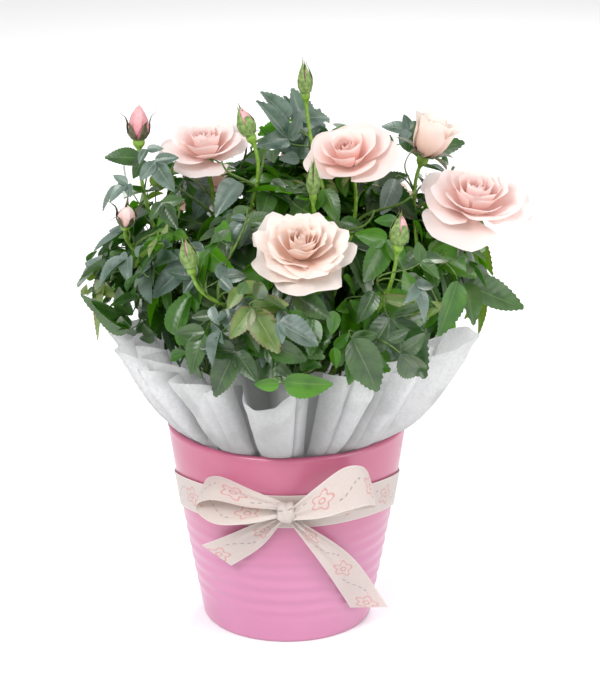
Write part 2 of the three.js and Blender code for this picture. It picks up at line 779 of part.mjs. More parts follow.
// A leaf whose tip leaflet runs from one given point to another, or as near to that as it fits.
function placedLeaf({ from, to }) {
  const base = vec(...from);
  const span = vec(...to).sub(base);
  const way = span.clone().normalize();
  const out = outwardAt(base).addScaledVector(UP, 0.3);
  const face = out.addScaledVector(way, -out.dot(way)).normalize();
  for (const size of [1, 0.82, 0.66]) {
    for (const nudge of PLACED_NUDGES) {
      const length = span.length() * size;
      const root = base
        .clone()
        .addScaledVector(way, span.length() * (1 - size) - TIP_LEAFLET_AT * length)
        .addScaledVector(face, LEAF_DROOP * length)
        .add(vec(0, nudge, 0));
      const middle = root.clone().addScaledVector(way, 0.8 * length);
      if (growLeaf({ face, way, length, root, needs: 0 }, nearestPlan(middle))) return;
    }
  }
}

// The leaf's stalk leaves its stem below the leaf and rises to it. It is refused where it would cross.
function stalkTo(leaf, own) {
  let best = null;
  for (const stem of own.stems) {
    for (let t = 0.06; t < 0.86; t += 0.05) {
      const foot = stem.getPoint(t);
      const span = leaf.root.clone().sub(foot);
      const flat = Math.hypot(span.x, span.y);
      const cost = span.length() + 1.5 * Math.max(0, 0.35 * flat - span.z);
      if (!best || cost < best.cost) best = { cost, foot, way: stem.getTangent(t) };
    }
  }
  const footWay = leaf.root.clone().sub(best.foot).normalize().add(best.way).normalize();
  const behind = -0.15 - LEAF_DROOP * STALK_END ** 2 * leaf.length;
  const end = bladePoint(leaf, STALK_END * leaf.length, 0, behind);
  const endWay = leaf.way.clone().addScaledVector(leaf.face, 0.9).normalize();
  leaf.stalk = bend(best.foot, footWay, end, endWay, 0.4);
  const samples = leaf.stalk.getPoints(12).slice(1, 12);
  if (samples.some((p) => !inOwnSpace(p, own) || nearFlower(p))) return false;
  if (samples.some((p) => nearLimb(p, own, LIMB_CLEARANCE))) return false;
  return !stalkCrossesCollar(samples) && !samples.slice(2).some((p) => isTaken(p, own));
}

// Even points over a shell of the crown, by the golden angle from its top down.
function shellPoints(count, scale, start) {
  const golden = Math.PI * (3 - Math.sqrt(5));
  const lowest = -0.85;
  return Array.from({ length: count }, (_, i) => {
    const tall = 1 - ((i + 0.5) / count) * (1 - lowest);
    const flat = Math.sqrt(1 - tall * tall);
    const angle = start + i * golden;
    const ray = vec(flat * Math.cos(angle), flat * Math.sin(angle), tall);
    const spoke = vec(ray.x * CROWN_RADIUS_X, ray.y * CROWN_RADIUS_Y, ray.z * CROWN_RISE);
    const heart = vec(CROWN_SHIFT_X, 0, CROWN_CENTRE);
    return spoke.multiplyScalar(scale / crownShare(spoke.clone().add(heart))).add(heart);
  });
}

for (const p of plans) {
  p.leaves = [];
  p.taken = [];
}
PLACED_LEAVES.forEach(placedLeaf);

// Leaves are tried at many points of each shell and kept where they stand clear of those before.
const random = seeded(SEED);
for (const shell of SHELLS) {
  for (const target of shellPoints(shell.tries, shell.scale, shell.start)) {
    const own = nearestPlan(target);
    const middles = plans.flatMap((p) => p.leaves.map((leaf) => leafHub(leaf, 0)));
    if (middles.some((middle) => middle.distanceTo(target) < shell.spacing)) continue;
    shingleLeaf(target, own, random, shell.size);
  }
}

// ---------------------------------------------------------------- flowers

// Carries a geometry made about +Z, with its seat at the origin, to a flower's seat and axis.
function seatAt({ seat, axis }, geometry) {
  const turn = new THREE.Quaternion().setFromUnitVectors(UP, axis);
  return geometry.applyQuaternion(turn).translate(seat.x, seat.y, seat.z);
}

// Pieces fused to one closed solid: the largest shell, so hollows are filled and scraps dropped.
function fuse(pieces) {
  const shells = wasm.Manifold.union(pieces).decompose();
  return shells.reduce((best, shell) => (shell.volume() > best.volume() ? shell : best));
}

// The green hip under a flower, with sepals where they show, or the whole of a closed bud.
function calyx(flower) {
  const closed = flower.kind === "bud";
  const open = flower.kind === "bloom";
  const wide = flower.across / 2;
  const r = open ? 4.6 : wide * 0.72;
  const profile = [
    [0, -HIP_HEIGHT],
    [FLOWER_STALK_RADIUS * 0.9, -HIP_HEIGHT],
    [r, -3],
    [r * 0.86, 0],
  ];
  if (closed) profile.push([wide, 6], [wide * 0.6, 13], [0, 19]);
  else profile.push([0, 0]);
  const pieces = [solidOf(seatAt(flower, turned(profile, 6)))];
  if (open) return pieces;
  const rise = { half_open: -0.2, pink_bud: 0.5, bud: 1.15 }[flower.kind];
  for (let i = 0; i < 5; i++) {
    const angle = (2 * Math.PI * (i + 0.25)) / 5;
    const outward = vec(Math.cos(angle), Math.sin(angle), 0);
    const way = outward.clone().multiplyScalar(Math.cos(rise)).addScaledVector(UP, Math.sin(rise));
    const face = outward.clone().multiplyScalar(-Math.sin(rise)).addScaledVector(UP, Math.cos(rise));
    const root = outward.clone().multiplyScalar(r * 0.5).addScaledVector(UP, closed ? 5 : -2.4);
    const sepal = { root, way, side: vec(0, 0, 0).crossVectors(way, face), face };
    const blade = reshape(new THREE.SphereGeometry(1, 4, 2), (p) => {
      p.copy(bladePoint(sepal, SEPAL_LENGTH * (0.5 + 0.5 * p.x), p.z * 2.6, p.y * 0.6));
    });
    pieces.push(solidOf(seatAt(flower, blade)));
  }
  return pieces;
}

// One ring of petals as a dish whose edge is scalloped: opens is its slope out from the axis.
function petalDish({ petals, length, opens, from, start, curl }, size) {
  const thick = 1.6;
  const slope = radians(opens);
  const reaches = [0.5, 1];
  const under = reaches.map((reach) => new THREE.Vector2(reach, 0));
  const over = reaches.map((reach) => new THREE.Vector2(reach, 1)).reverse();
  const profile = [new THREE.Vector2(0, 0), ...under, ...over, new THREE.Vector2(0, 1)];
  const dish = new THREE.LatheGeometry(profile, petals * 2).rotateX(Math.PI / 2);
  return reshape(dish, (p) => {
    const reach = Math.hypot(p.x, p.y);
    const angle = Math.atan2(p.y, p.x);
    const onLobe = Math.sin((petals * (angle + Math.PI)) / 2) ** 2;
    const span = length * size * reach * lerp(lerp(1, 0.8, reach * reach), 1, onLobe);
    const rise = span * Math.cos(slope) - curl * size * reach ** 3 + from * size;
    const flat = span * Math.sin(slope) + reach * 2;
    const turn = angle + start;
    p.set(flat * Math.cos(turn), flat * Math.sin(turn), rise + p.z * thick + GAP);
  });
}

const PETAL_RINGS = [
  { petals: 5, length: 34, opens: 74, from: 0, start: 0.2, curl: 6 },
  { petals: 5, length: 29, opens: 50, from: 1.4, start: 0.83, curl: 1 },
];

// An open rose: dishes of petals round a pointed heart.
function bloom(flower) {
  const size = flower.across / 68;
  const heart = [
    [0, GAP],
    [4, GAP],
    [9 * size, 8 * size],
    [12 * size, 17 * size],
    [7 * size, 25 * size],
    [0, 21 * size],
  ];
  const pieces = PETAL_RINGS.map((ring) => solidOf(petalDish(ring, size)));
  pieces.push(solidOf(turned(heart, 9)));
  return seatAt(flower, geometryOf(fuse(pieces)));
}

// Petals still rolled up: a spindle, fuller where the flower has begun to open.
function spindle(flower) {
  const r = flower.across / 2;
  const full = flower.kind === "half_open";
  const tall = full ? 26 : flower.across * 1.45;
  const profile = [
    [0, GAP],
    [r * 0.5, GAP],
    [r * 0.94, tall * 0.24],
    [r, tall * 0.45],
    [r * (full ? 0.94 : 0.74), tall * 0.7],
    [r * (full ? 0.62 : 0.36), tall * 0.9],
    [0, tall],
  ];
  return seatAt(flower, turned(profile, 10));
}

const FLOWER_NAMES = { bloom: "bloom_", half_open: "half_open_", pink_bud: "bud_" };

function flowerNode(flower) {
  const geometry = flower.kind === "bloom" ? bloom(flower) : spindle(flower);
  return named(FLOWER_NAMES[flower.kind] + flower.name, geometry, PAINTS.petal);
}

// ---------------------------------------------------------------- masses of foliage

function foliage(p) {
  const pieces = p.flowers.flatMap(calyx);
  p.stems.forEach((stem, i) => {
    const foot = i ? SIDE_SHOOT_RADIUS : CANE_TIP_RADIUS;
    pieces.push(solidOf(limb(stem, foot, FLOWER_STALK_RADIUS, 5, 5)));
  });
  for (const leaf of p.leaves) {
    pieces.push(solidOf(limb(leaf.stalk, STALK_FOOT_RADIUS, STALK_END_RADIUS, 3, 2)));
    pieces.push(leafSolid(leaf));
  }
  return named("foliage_" + p.name, geometryOf(fuse(pieces)), PAINTS.leaf);
}

// ---------------------------------------------------------------- the whole plant

const rose = new THREE.Group();
const nodes = [pot(), compost(), collar(), band(), ...bow(), rootstock()];
for (const p of plans) {
  nodes.push(cane(p), foliage(p), ...p.flowers.filter((f) => f.kind !== "bud").map(flowerNode));
}
rose.add(...nodes);

export default rose;
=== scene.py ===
# %% [markdown]
# # A patio rose in a glazed pot
#
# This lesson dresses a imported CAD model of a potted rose. The model gives the frame: every piece
# made here sits where its solid sits, in metres, with +Z up and the bow facing -Y. The plant is
# grown a second time by the rule that grew the solids, and then carried on to finer twigs and
# leaves. We load the frame first, because every later cell measures against it.

# %% Load the frame
import math
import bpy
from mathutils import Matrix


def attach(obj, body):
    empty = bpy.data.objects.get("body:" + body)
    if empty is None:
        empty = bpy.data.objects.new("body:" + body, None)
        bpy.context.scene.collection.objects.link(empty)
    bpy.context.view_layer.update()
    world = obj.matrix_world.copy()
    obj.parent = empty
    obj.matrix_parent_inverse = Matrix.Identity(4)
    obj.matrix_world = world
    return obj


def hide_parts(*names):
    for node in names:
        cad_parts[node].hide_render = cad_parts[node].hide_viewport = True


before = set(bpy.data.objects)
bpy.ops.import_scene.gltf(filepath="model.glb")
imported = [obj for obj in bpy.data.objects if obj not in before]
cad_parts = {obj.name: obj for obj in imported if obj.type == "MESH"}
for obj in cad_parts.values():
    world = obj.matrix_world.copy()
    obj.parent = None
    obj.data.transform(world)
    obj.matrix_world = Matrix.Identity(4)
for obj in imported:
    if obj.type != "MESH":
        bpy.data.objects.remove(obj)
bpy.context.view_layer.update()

from types import SimpleNamespace

import bmesh
import bpy
import numpy as np
from mathutils import Vector, noise

MM = 0.001
print("CAD nodes:", len(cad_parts))

# %% [markdown]
# ## Camera
#
# A product stands on a pale floor in a bright room, and a long lens from about a metre and a half
# keeps the pot's sides nearly parallel. We place the camera by its angle and distance, so that it
# can be changed with two numbers. The floor and the lamps come last.

# %% Camera
CAMERA_TARGET = Vector((8.7, 0, 186.3)) * MM
CAMERA_DISTANCE = 1.5
CAMERA_ELEVATION = math.radians(18.8)
LENS = 116.3

camera_data = bpy.data.cameras.new("camera")
camera_data.lens = LENS
camera_data.sensor_width = 36
camera_data.clip_start = 0.05
camera = bpy.data.objects.new("camera", camera_data)
back = Vector((0, -math.cos(CAMERA_ELEVATION), math.sin(CAMERA_ELEVATION)))
camera.location = CAMERA_TARGET + back * CAMERA_DISTANCE
camera.rotation_euler = (math.pi / 2 - CAMERA_ELEVATION, 0, 0)
bpy.context.scene.collection.objects.link(camera)
bpy.context.scene.camera = camera
bpy.context.scene.view_settings.view_transform = "Standard"
print("camera at", [round(x, 3) for x in camera.location])

# %% [markdown]
# ## Shader sums as Python sums
#
# A material is a graph of nodes, and most of the nodes are plain arithmetic. Wrapping a socket in
# a small class lets us write that arithmetic as a Python expression: each operator adds one Math
# node.

# %% A socket that can be added and multiplied


def operator(operation, swapped=False):
    """A method that adds one Math node and gives its result."""

    def made(*terms):
        ordered = terms[::-1] if swapped else terms
        return terms[0].graph.node("Math", {"operation": operation}, dict(enumerate(ordered)))

    return made


class Term:
    """A shader socket that takes part in Python sums."""

    def __init__(self, graph, socket):
        self.graph, self.socket = graph, socket

    __add__ = __radd__ = operator("ADD")
    __sub__ = operator("SUBTRACT")
    __rsub__ = operator("SUBTRACT", swapped=True)
    __mul__ = __rmul__ = operator("MULTIPLY")
    __truediv__ = operator("DIVIDE")
    __pow__ = operator("POWER")
    __abs__ = operator("ABSOLUTE")
    fraction = operator("FRACT")
    sine = operator("SINE")


class Graph:
    """The nodes of one material."""

    def __init__(self, name):
        self.material = bpy.data.materials.new(name)
        self.material.use_nodes = True
        self.tree = self.material.node_tree
        self.tree.nodes.clear()

    def node(self, kind, settings=None, inputs=None, output=0):
        made = self.tree.nodes.new("ShaderNode" + kind)
        for key, value in (settings or {}).items():
            setattr(made, key, value)
        for key, value in (inputs or {}).items():
            if isinstance(value, Term):
                self.tree.links.new(value.socket, made.inputs[key])
            else:
                made.inputs[key].default_value = value
        return Term(self, made.outputs[output])

    def between(self, value, low, high):
        """0 at low and 1 at high, with soft ends."""
        settings = {"interpolation_type": "SMOOTHSTEP"}
        return self.node("MapRange", settings, {0: value, 1: low, 2: high})

    def mix(self, share, first, second):
        """One colour turning into another."""
        colours = {6: self.colour(first), 7: self.colour(second), 0: share}
        return self.node("Mix", {"data_type": "RGBA"}, colours, output=2)
    def layers(self, colour, *rows):
        """A colour with others laid over it in turn. Each row is a share and a colour."""
        for share, over in rows:
            colour = self.mix(share, colour, over)
        return colour
    def colour(self, value):
        return value if isinstance(value, Term) else (*value, 1)

    def noise(self, scale, detail=3, vector=None):
        where = vector or self.place()
        return self.node("TexNoise", {}, {"Vector": where, "Scale": scale, "Detail": detail})

    def place(self):
        """Object coordinates, in metres."""
        return self.node("TexCoord", output=3)

    def axes(self, vector):
        return [self.node("SeparateXYZ", {}, {0: vector}, output=i) for i in range(3)]

    def uv(self):
        """The piece's own map: u along it and v across it."""
        return self.axes(self.node("TexCoord", output=2))[:2]

    def value(self, name):
        """A number that the mesh carries at each point."""
        return self.node("Attribute", {"attribute_name": name}, output=2)

    def bump(self, height, strength, distance):
        values = {"Height": height, "Strength": strength, "Distance": distance}
        return self.node("Bump", {}, values)

    def finish(self, inputs, through=None, share=0.0):
        """Ends the graph. A share of the light may pass through a thin sheet, in one colour."""
        surface = self.node("BsdfPrincipled", {}, inputs)
        if through is not None:
            passing = self.node("BsdfTranslucent", {}, {"Color": self.colour(through)})
            surface = self.node("MixShader", {}, {0: share, 1: surface, 2: passing})
        out = self.tree.nodes.new("ShaderNodeOutputMaterial")
        self.tree.links.new(surface.socket, out.inputs["Surface"])
        return self.material
def grained_finish(name, scale, detail, band, dark, light, roughness, bump, above=None):
    """Grain that runs from dark to light and stands in relief. above changes its colour."""
    graph = Graph(name)
    grain = graph.noise(scale, detail)
    colour = graph.mix(graph.between(grain, *band), dark, light)
    if above:
        colour = above(graph, colour)
    surface = {"Base Color": colour, "Roughness": roughness, "Normal": graph.bump(grain, *bump)}
    return graph.finish(surface)
# %% [markdown]
# ## Meshes from templates
#
# This rose has some two thousand leaflets and nearly two hundred petals. Particles would be quick
# to set up, but an export drops them. So each kind of small thing is modelled once with mesh
# operators as a template, and the arrays below lay down every copy, each bent in its own way, as
# one joined mesh.

# %% Templates and pieces


def template_of(bm):
    """A bmesh as arrays that can be repeated."""
    mesh = bpy.data.meshes.new("template")
    bm.to_mesh(mesh)
    bm.free()
    read = SimpleNamespace()
    read.points = np.zeros(len(mesh.vertices) * 3)
    mesh.vertices.foreach_get("co", read.points)
    read.points = read.points.reshape(-1, 3)
    read.loops = np.zeros(len(mesh.loops), np.int64)
    mesh.loops.foreach_get("vertex_index", read.loops)
    read.starts = np.zeros(len(mesh.polygons), np.int64)
    mesh.polygons.foreach_get("loop_start", read.starts)
    read.uv = np.zeros(len(mesh.loops) * 2)
    mesh.uv_layers[0].data.foreach_get("uv", read.uv)
    bpy.data.meshes.remove(mesh)
    return read


def grid(columns, rows):
    """A square of faces, x and y from -1 to 1, with a UV map."""
    bm = bmesh.new()
    bm.loops.layers.uv.new("UVMap")
    bmesh.ops.create_grid(bm, x_segments=columns, y_segments=rows, size=1, calc_uvs=True)
    return bm


def show(name, mesh, materials, nodes):
    """Links a finished mesh as a piece of the plant."""
    for material in materials:
        mesh.materials.append(material)
    piece = bpy.data.objects.new(name, mesh)
    bpy.context.scene.collection.objects.link(piece)
    mesh.polygons.foreach_set("use_smooth", [True] * len(mesh.polygons))
    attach(piece, "root")
    if nodes:
        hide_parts(*nodes)
    print(f"{name}: {len(mesh.polygons)} faces")
    return piece


def copies(name, template, points, materials, nodes=(), picks=0, values=None):
    """One mesh from many copies. points are the copies' own points in millimetres, (n, k, 3)."""
    count, each, _ = points.shape
    mesh = bpy.data.meshes.new(name)
    mesh.vertices.add(count * each)
    mesh.vertices.foreach_set("co", (points * MM).astype(np.float32).ravel())
    loops, starts = len(template.loops), len(template.starts)
    shift = np.arange(count)[:, None]
    mesh.loops.add(count * loops)
    corners = (template.loops[None] + shift * each).ravel().astype(np.int32)
    mesh.loops.foreach_set("vertex_index", corners)
    mesh.polygons.add(count * starts)
    firsts = (template.starts[None] + shift * loops).ravel().astype(np.int32)
    mesh.polygons.foreach_set("loop_start", firsts)
    kinds = np.broadcast_to(np.asarray(picks, np.int32).reshape(-1, 1), (count, starts))
    mesh.polygons.foreach_set("material_index", np.ascontiguousarray(kinds).ravel())
    mesh.update(calc_edges=True)
    layer = mesh.uv_layers.new(name="UVMap")
    layer.data.foreach_set("uv", np.tile(template.uv, count).astype(np.float32))
    for key, value in (values or {}).items():
        spread = np.broadcast_to(np.asarray(value, np.float32).reshape(count, -1), (count, each))
        mesh.attributes.new(key, "FLOAT", "POINT").data.foreach_set("value", spread.ravel())
    return show(name, mesh, materials, nodes)


def whole(name, bm, materials, nodes=()):
    """A bmesh in millimetres as a piece."""
    bmesh.ops.scale(bm, vec=(MM, MM, MM), verts=bm.verts)
    mesh = bpy.data.meshes.new(name)
    bm.to_mesh(mesh)
    bm.free()
    return show(name, mesh, materials, nodes)


# %% Small tools for arrays
UP = np.array([0.0, 0.0, 1.0])


def unit(v):
    return v / np.linalg.norm(v, axis=-1, keepdims=True)


def lerp(a, b, t):
    return a + (b - a) * t


def smooth(t):
    t = np.clip(t, 0, 1)
    return t * t * (3 - 2 * t)


def seeded(seed):
    """Repeatable numbers from 0 to 1."""
    state = seed

    def draw():
        nonlocal state
        state = (state * 1664525 + 1013904223) & 0xFFFFFFFF
        return state / 4294967296

    return draw


# %% [markdown]
# ## The pot
#
# The pot is slip-cast earthenware under a satin pink glaze: a tapered wall with a slight belly, a
# rounded lip and soft throwing rings round its lower half. A thrown pot is a profile turned about
# an axis, and Spin does just that. The rings are part of the profile, so that they catch real
# light.

# %% Pot sizes
POT_HEIGHT = 140
POT_RIM_RADIUS = 80
POT_BASE_RADIUS = 57
POT_BELLY = 0.05
POT_WALL = 5
POT_FLOOR = 8
RING_PITCH = 9.6
RING_DEPTH = 0.42
RINGS_FROM, RINGS_TO = 12, 88  # heights between which the wall is ringed


def pot_radius(z):
    t = z / POT_HEIGHT
    belly = POT_BELLY * np.sin(np.pi * t)
    return POT_BASE_RADIUS + (POT_RIM_RADIUS - POT_BASE_RADIUS) * (t + belly)


def ringed_radius(z):
    shown = smooth((z - RINGS_FROM) / 14) * smooth((RINGS_TO - z) / 26)
    return pot_radius(z) - RING_DEPTH * shown * (1 + math.cos(2 * math.pi * z / RING_PITCH))


# %% Pot glaze
glaze = Graph("satin_pink_glaze")
_, _, height = glaze.axes(glaze.place())
blush = glaze.between(height, 0.045, 0.125)
cloud = glaze.between(glaze.noise(18, 4), 0.35, 0.7)
body = glaze.mix(blush, (0.50, 0.185, 0.325), (0.41, 0.088, 0.165))
body = glaze.mix(cloud * 0.14, body, (0.60, 0.28, 0.42))
speck = glaze.noise(1400, 2)
glaze_pink = glaze.finish(
    {
        "Base Color": body,
        "Roughness": 0.3 + 0.12 * cloud,
        "Coat Weight": 0.35,
        "Coat Roughness": 0.22,
        "Normal": glaze.bump(speck, 0.12, 0.0003),
    }
)

# %% A profile turned about Z


def turned_profile(outline, steps, cuts=0):
    """A closed mesh from rows of radius and height, in millimetres."""
    bm = bmesh.new()
    verts = [bm.verts.new((radius, 0, z)) for radius, z in outline]
    edges = [bm.edges.new(pair) for pair in zip(verts, verts[1:])]
    if cuts:
        bmesh.ops.subdivide_edges(bm, edges=edges, cuts=cuts)
    bmesh.ops.spin(
        bm, geom=bm.verts[:] + bm.edges[:], cent=(0, 0, 0), axis=(0, 0, 1),
        angle=2 * math.pi, steps=steps, use_merge=True,
    )
    bmesh.ops.remove_doubles(bm, verts=bm.verts, dist=0.01)
    bmesh.ops.recalc_face_normals(bm, faces=bm.faces)
    return bm


# %% Pot mesh
LIP = POT_WALL / 2
LIP_SWELL = 0.35
FOOT_ROUND = 2.5
FOOT_RING = 46  # the base is hollowed inside this radius
HOLLOW = 3.0
outline = [(0, HOLLOW), (FOOT_RING - 2, HOLLOW), (FOOT_RING, 0.0)]
outline.append((POT_BASE_RADIUS - FOOT_ROUND, 0.0))
for turn in np.radians([18, 36, 54, 72, 90]):
    reach = pot_radius(FOOT_ROUND) - FOOT_ROUND + FOOT_ROUND * math.sin(turn)
    outline.append((reach, FOOT_ROUND - FOOT_ROUND * math.cos(turn)))
for z in np.arange(5, POT_HEIGHT - LIP - 1, 1.2):
    outline.append((ringed_radius(z), z))
for turn in np.linspace(0, math.pi, 9):
    reach = POT_RIM_RADIUS - LIP + (LIP + LIP_SWELL * math.sin(turn)) * math.cos(turn)
    outline.append((reach, POT_HEIGHT - LIP + LIP * math.sin(turn)))
for z in np.linspace(POT_HEIGHT - LIP - 4, POT_FLOOR, 14):
    outline.append((pot_radius(z) - POT_WALL, z))
outline.append((0, POT_FLOOR))
whole("pot_glazed", turned_profile(outline, 128), [glaze_pink], ["pot"])

# %% [markdown]
# ## Compost
#
# Dark, crumbly peat shows between the stems when the plant is seen from above. A flat disc would
# look like lino, so we pull a grid into a disc and raise lumps of several sizes with noise.

# %% Compost finish
peat_brown = grained_finish(
    "peat", 260, 8, (0.35, 0.68), (0.012, 0.008, 0.006), (0.075, 0.045, 0.028), 0.95, (0.8, 0.002)
)

# %% Compost mesh
COMPOST_TOP = 118
COLLAR_SHEET = 1.0
GAP = 0.35
compost_radius = pot_radius(COMPOST_TOP) - POT_WALL - COLLAR_SHEET - 3.2 * GAP
LUMP_HEIGHT = 1.1
LUMP_RANGE = (-1.6, 2.2)
COMPOST_RIM = 0.08  # the share of the disc that runs out flat at its edge

bm = grid(60, 60)
for vert in bm.verts:
    x, y, _ = vert.co
    reach = max(abs(x), abs(y))
    spread = compost_radius * reach / max(1e-6, math.hypot(x, y))
    spot = Vector((x * spread, y * spread, 0))
    lumps = noise.fractal(spot * 0.09, 1.0, 2.0, 4) * 2.2 + noise.noise(spot * 0.5) * 0.8
    lumps = LUMP_HEIGHT * smooth((1 - reach) / COMPOST_RIM) * np.clip(lumps, *LUMP_RANGE)
    vert.co = (spot.x, spot.y, COMPOST_TOP - 2.5 + lumps)
whole("compost_surface", bm, [peat_brown], ["compost"])

# %% [markdown]
# ## The tissue collar
#
# Two strips of white non-woven tissue stand round the plant. Each was gathered at the pot's
# mouth, so it falls into folds that open upwards, and its cut corners stand up as points. Cloth
# simulation would crumple such stiff tissue like linen, so the folds are drawn: a list of ridges
# and hollows round the pot gives how far each stands out at the free edge, and they fade to
# nothing at the mouth.

# %% Tissue finish
tissue = Graph("white_non_woven_tissue")
fibre, grain, patch = tissue.noise(2200, 4), tissue.noise(450, 5), tissue.noise(48, 5)
aside, _, above = tissue.axes(tissue.place())
# Painted shade: the tissue is darker at the front and near the mouth, where the dark plant behind
# shows through.
front_shade = 1 - tissue.between(abs(aside), 0.025, 0.08)
mouth_shade = 1 - tissue.between(above, 0.145, 0.19)
# Painted shade in the folds' hollows, driven by the depth that each strip stores.
fold_shade = tissue.between(tissue.value("depth"), 0.45, 1.05)
felt = tissue.mix(tissue.between(fibre, 0.36, 0.66), (0.82, 0.82, 0.83), (0.92, 0.92, 0.93))
veil = tissue.layers(
    felt,
    (tissue.between(grain, 0.42, 0.62) * 0.3, (0.46, 0.465, 0.46)),
    # Grey blotches: partly the tissue's own mottle, partly painted show-through of the leaves
    # behind.
    (tissue.between(patch, 0.48, 0.66) * 0.45, (0.42, 0.43, 0.42)),
    (front_shade * 0.32 + mouth_shade * 0.26, (0.30, 0.30, 0.305)),
    (fold_shade * 0.9, (0.12, 0.125, 0.12)),
)
tissue_white = tissue.finish(
    {"Base Color": veil, "Roughness": 0.8, "Normal": tissue.bump(fibre, 0.25, 0.0003)},
    through=(0.92, 0.92, 0.94),
    share=0.45,
)

# %% Collar shape, as the solid's
COLLAR_FOOT = 97
COLLAR_WAIST = POT_HEIGHT + 0.6
COLLAR_TOP = 198
COLLAR_CORNER = 12
COLLAR_CORNERS = 7
COLLAR_CORNER_OUT = 5
COLLAR_FLARE_RADIUS = 109
COLLAR_BULGE = 0.62
COLLAR_PLEATS = 21
COLLAR_PLEAT_DEPTH = 3.6


def corner_lift(angle):
    return 1 - 2 * np.abs(np.sin(COLLAR_CORNERS * angle / 2))


def collar_top(angle):
    return COLLAR_TOP + COLLAR_CORNER * corner_lift(angle)


def collar_lining(z):
    return pot_radius(np.minimum(z, COLLAR_WAIST)) - POT_WALL - 2 * GAP - COLLAR_SHEET / 2


def collar_flare(z):
    """How far up its flare the collar is at a height, and its mean radius there."""
    rise = np.maximum(0, (z - COLLAR_WAIST) / (COLLAR_TOP - COLLAR_WAIST))
    return rise, lerp(collar_lining(z), COLLAR_FLARE_RADIUS, rise**COLLAR_BULGE)


def collar_radius(angle, z):
    rise, flare = collar_flare(z)
    pleat = np.sin(COLLAR_PLEATS * angle) * COLLAR_PLEAT_DEPTH
    corner = COLLAR_CORNER_OUT * corner_lift(angle)
    return flare + (pleat + corner) * np.minimum(1, rise) ** 1.3


# %% Folds round the pot
# Each row is an angle in degrees, then how far the tissue stands out there at its free edge and how
# far that edge rises or dips.
OUTER_FOLDS = [
    (-180, -5, 12), (-173, 4, 17), (-166, -9, 7), (-158, 5, 4), (-151, -10, -2), (-144, 7, 0),
    (-136, -14, -3), (-129, 5, 0), (-120, 9, 3), (-113, -5, -2), (-107, -14, -4), (-104, 6, -8),
    (-99, 15, -9), (-93, 14, -6), (-88, 8, 2), (-85, -12, 5), (-76, -16, 4), (-69, -8, 3),
    (-62, 9, 3), (-55, -10, 0), (-46, 9, 5), (-37, -6, 4), (-28, 8, 9), (-18, 14, 15), (-8, 8, 10),
    (2, -3, 3), (13, 6, 6), (26, -6, 0), (38, 5, 9), (52, -6, -2), (64, 6, 4), (77, -5, 0),
    (90, 6, 9), (104, -6, -3), (117, 6, 5), (131, -5, 0), (144, 7, 8), (158, -5, -2), (170, 4, 3),
]
OUT, UP_DOWN = 1, 2  # the columns of a row
INNER_FOLD_TURN = 23  # the inner strip's folds are the same rows, turned by this much
FAN = math.radians(14)  # how far the folds draw together towards the front at the mouth
FOLD_SOFTNESS = 0.35
before, after = OUTER_FOLDS[-1], OUTER_FOLDS[0]
FOLD_ROWS = [(before[0] - 360, *before[1:]), *OUTER_FOLDS, (after[0] + 360, *after[1:])]


def fold_at(angle, column, turn):
    """A column of the folds at an angle, running softly from row to row."""
    degrees = (math.degrees(angle) + turn + 180) % 360 - 180
    low, high = next(pair for pair in zip(FOLD_ROWS, FOLD_ROWS[1:]) if degrees <= pair[1][0])
    share = (degrees - low[0]) / (high[0] - low[0])
    return lerp(low[column], high[column], lerp(share, smooth(share), FOLD_SOFTNESS))


STRIP_TURN = math.radians(368)  # a strip's ends are lapped
LAP_LEAN = 3.0  # the lap stands this much clear of the strip's start
MOUTH = 0.3  # the share of the strip that is tucked into the pot


def tissue_strip(name, start, inset, lift, turn, shade):
    """A strip of tissue round the pot, from an angle in degrees."""
    bm = grid(420, 22)
    depth = bm.verts.layers.float.new("depth")
    for vert in bm.verts:
        u, v = (vert.co.x + 1) / 2, (vert.co.y + 1) / 2
        angle = math.radians(start) + STRIP_TURN * u
        if v < MOUTH:
            z = lerp(COLLAR_FOOT, COLLAR_WAIST, v / MOUTH)
        else:
            top = COLLAR_TOP + fold_at(angle, UP_DOWN, turn) + lift
            z = lerp(COLLAR_WAIST, top, (v - MOUTH) / (1 - MOUTH))
        rise, flare = collar_flare(z)
        fanned = angle + FAN * math.cos(angle) * (1 - min(1.0, rise))
        fold = fold_at(fanned, OUT, turn)
        spot = Vector((math.cos(angle) * 4, math.sin(angle) * 4, z * 0.05))
        crumple = noise.fractal(spot, 1.0, 2.0, 3) * 2.6 * rise
        radius = flare + fold * (1.1 * rise**0.45 + 0.06) + crumple
        radius -= inset * rise**0.5 + LAP_LEAN * (u - 0.5) * 2 * rise
        if v < MOUTH:
            radius = min(radius, collar_lining(z) + 0.2)
        sag = -2.0 * rise * (0.5 + noise.noise(spot * 1.7))
        vert.co = (radius * math.cos(angle), radius * math.sin(angle), z + sag * rise)
        # depth grows into each fold's hollow and drives the painted shade there; shade sets how
        # dark a strip's hollows are painted.
        vert[depth] = shade - fold / 26
    return whole(name, bm, [tissue_white])


tissue_outer = tissue_strip("tissue_outer", 96, 0.0, 0.0, 0, 0.5)
tissue_inner = tissue_strip("tissue_inner", 41, 11.0, 2.0, INNER_FOLD_TURN, 0.3)
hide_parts("tissue_collar")

# %% [markdown]
# ## Ribbon
#
# A woven cream ribbon goes round the pot and is tied in front in a soft bow. It was cut 25 mm wide
# and measures a little less across its curl, all along, so one finish serves every part. It reads
# the strip's own map, so that the weave, the selvedges and the little outlined flowers follow each
# turn. Strips this simple are laid along a path directly, because a cloth solver would need pins
# to hold a knot that never moves.

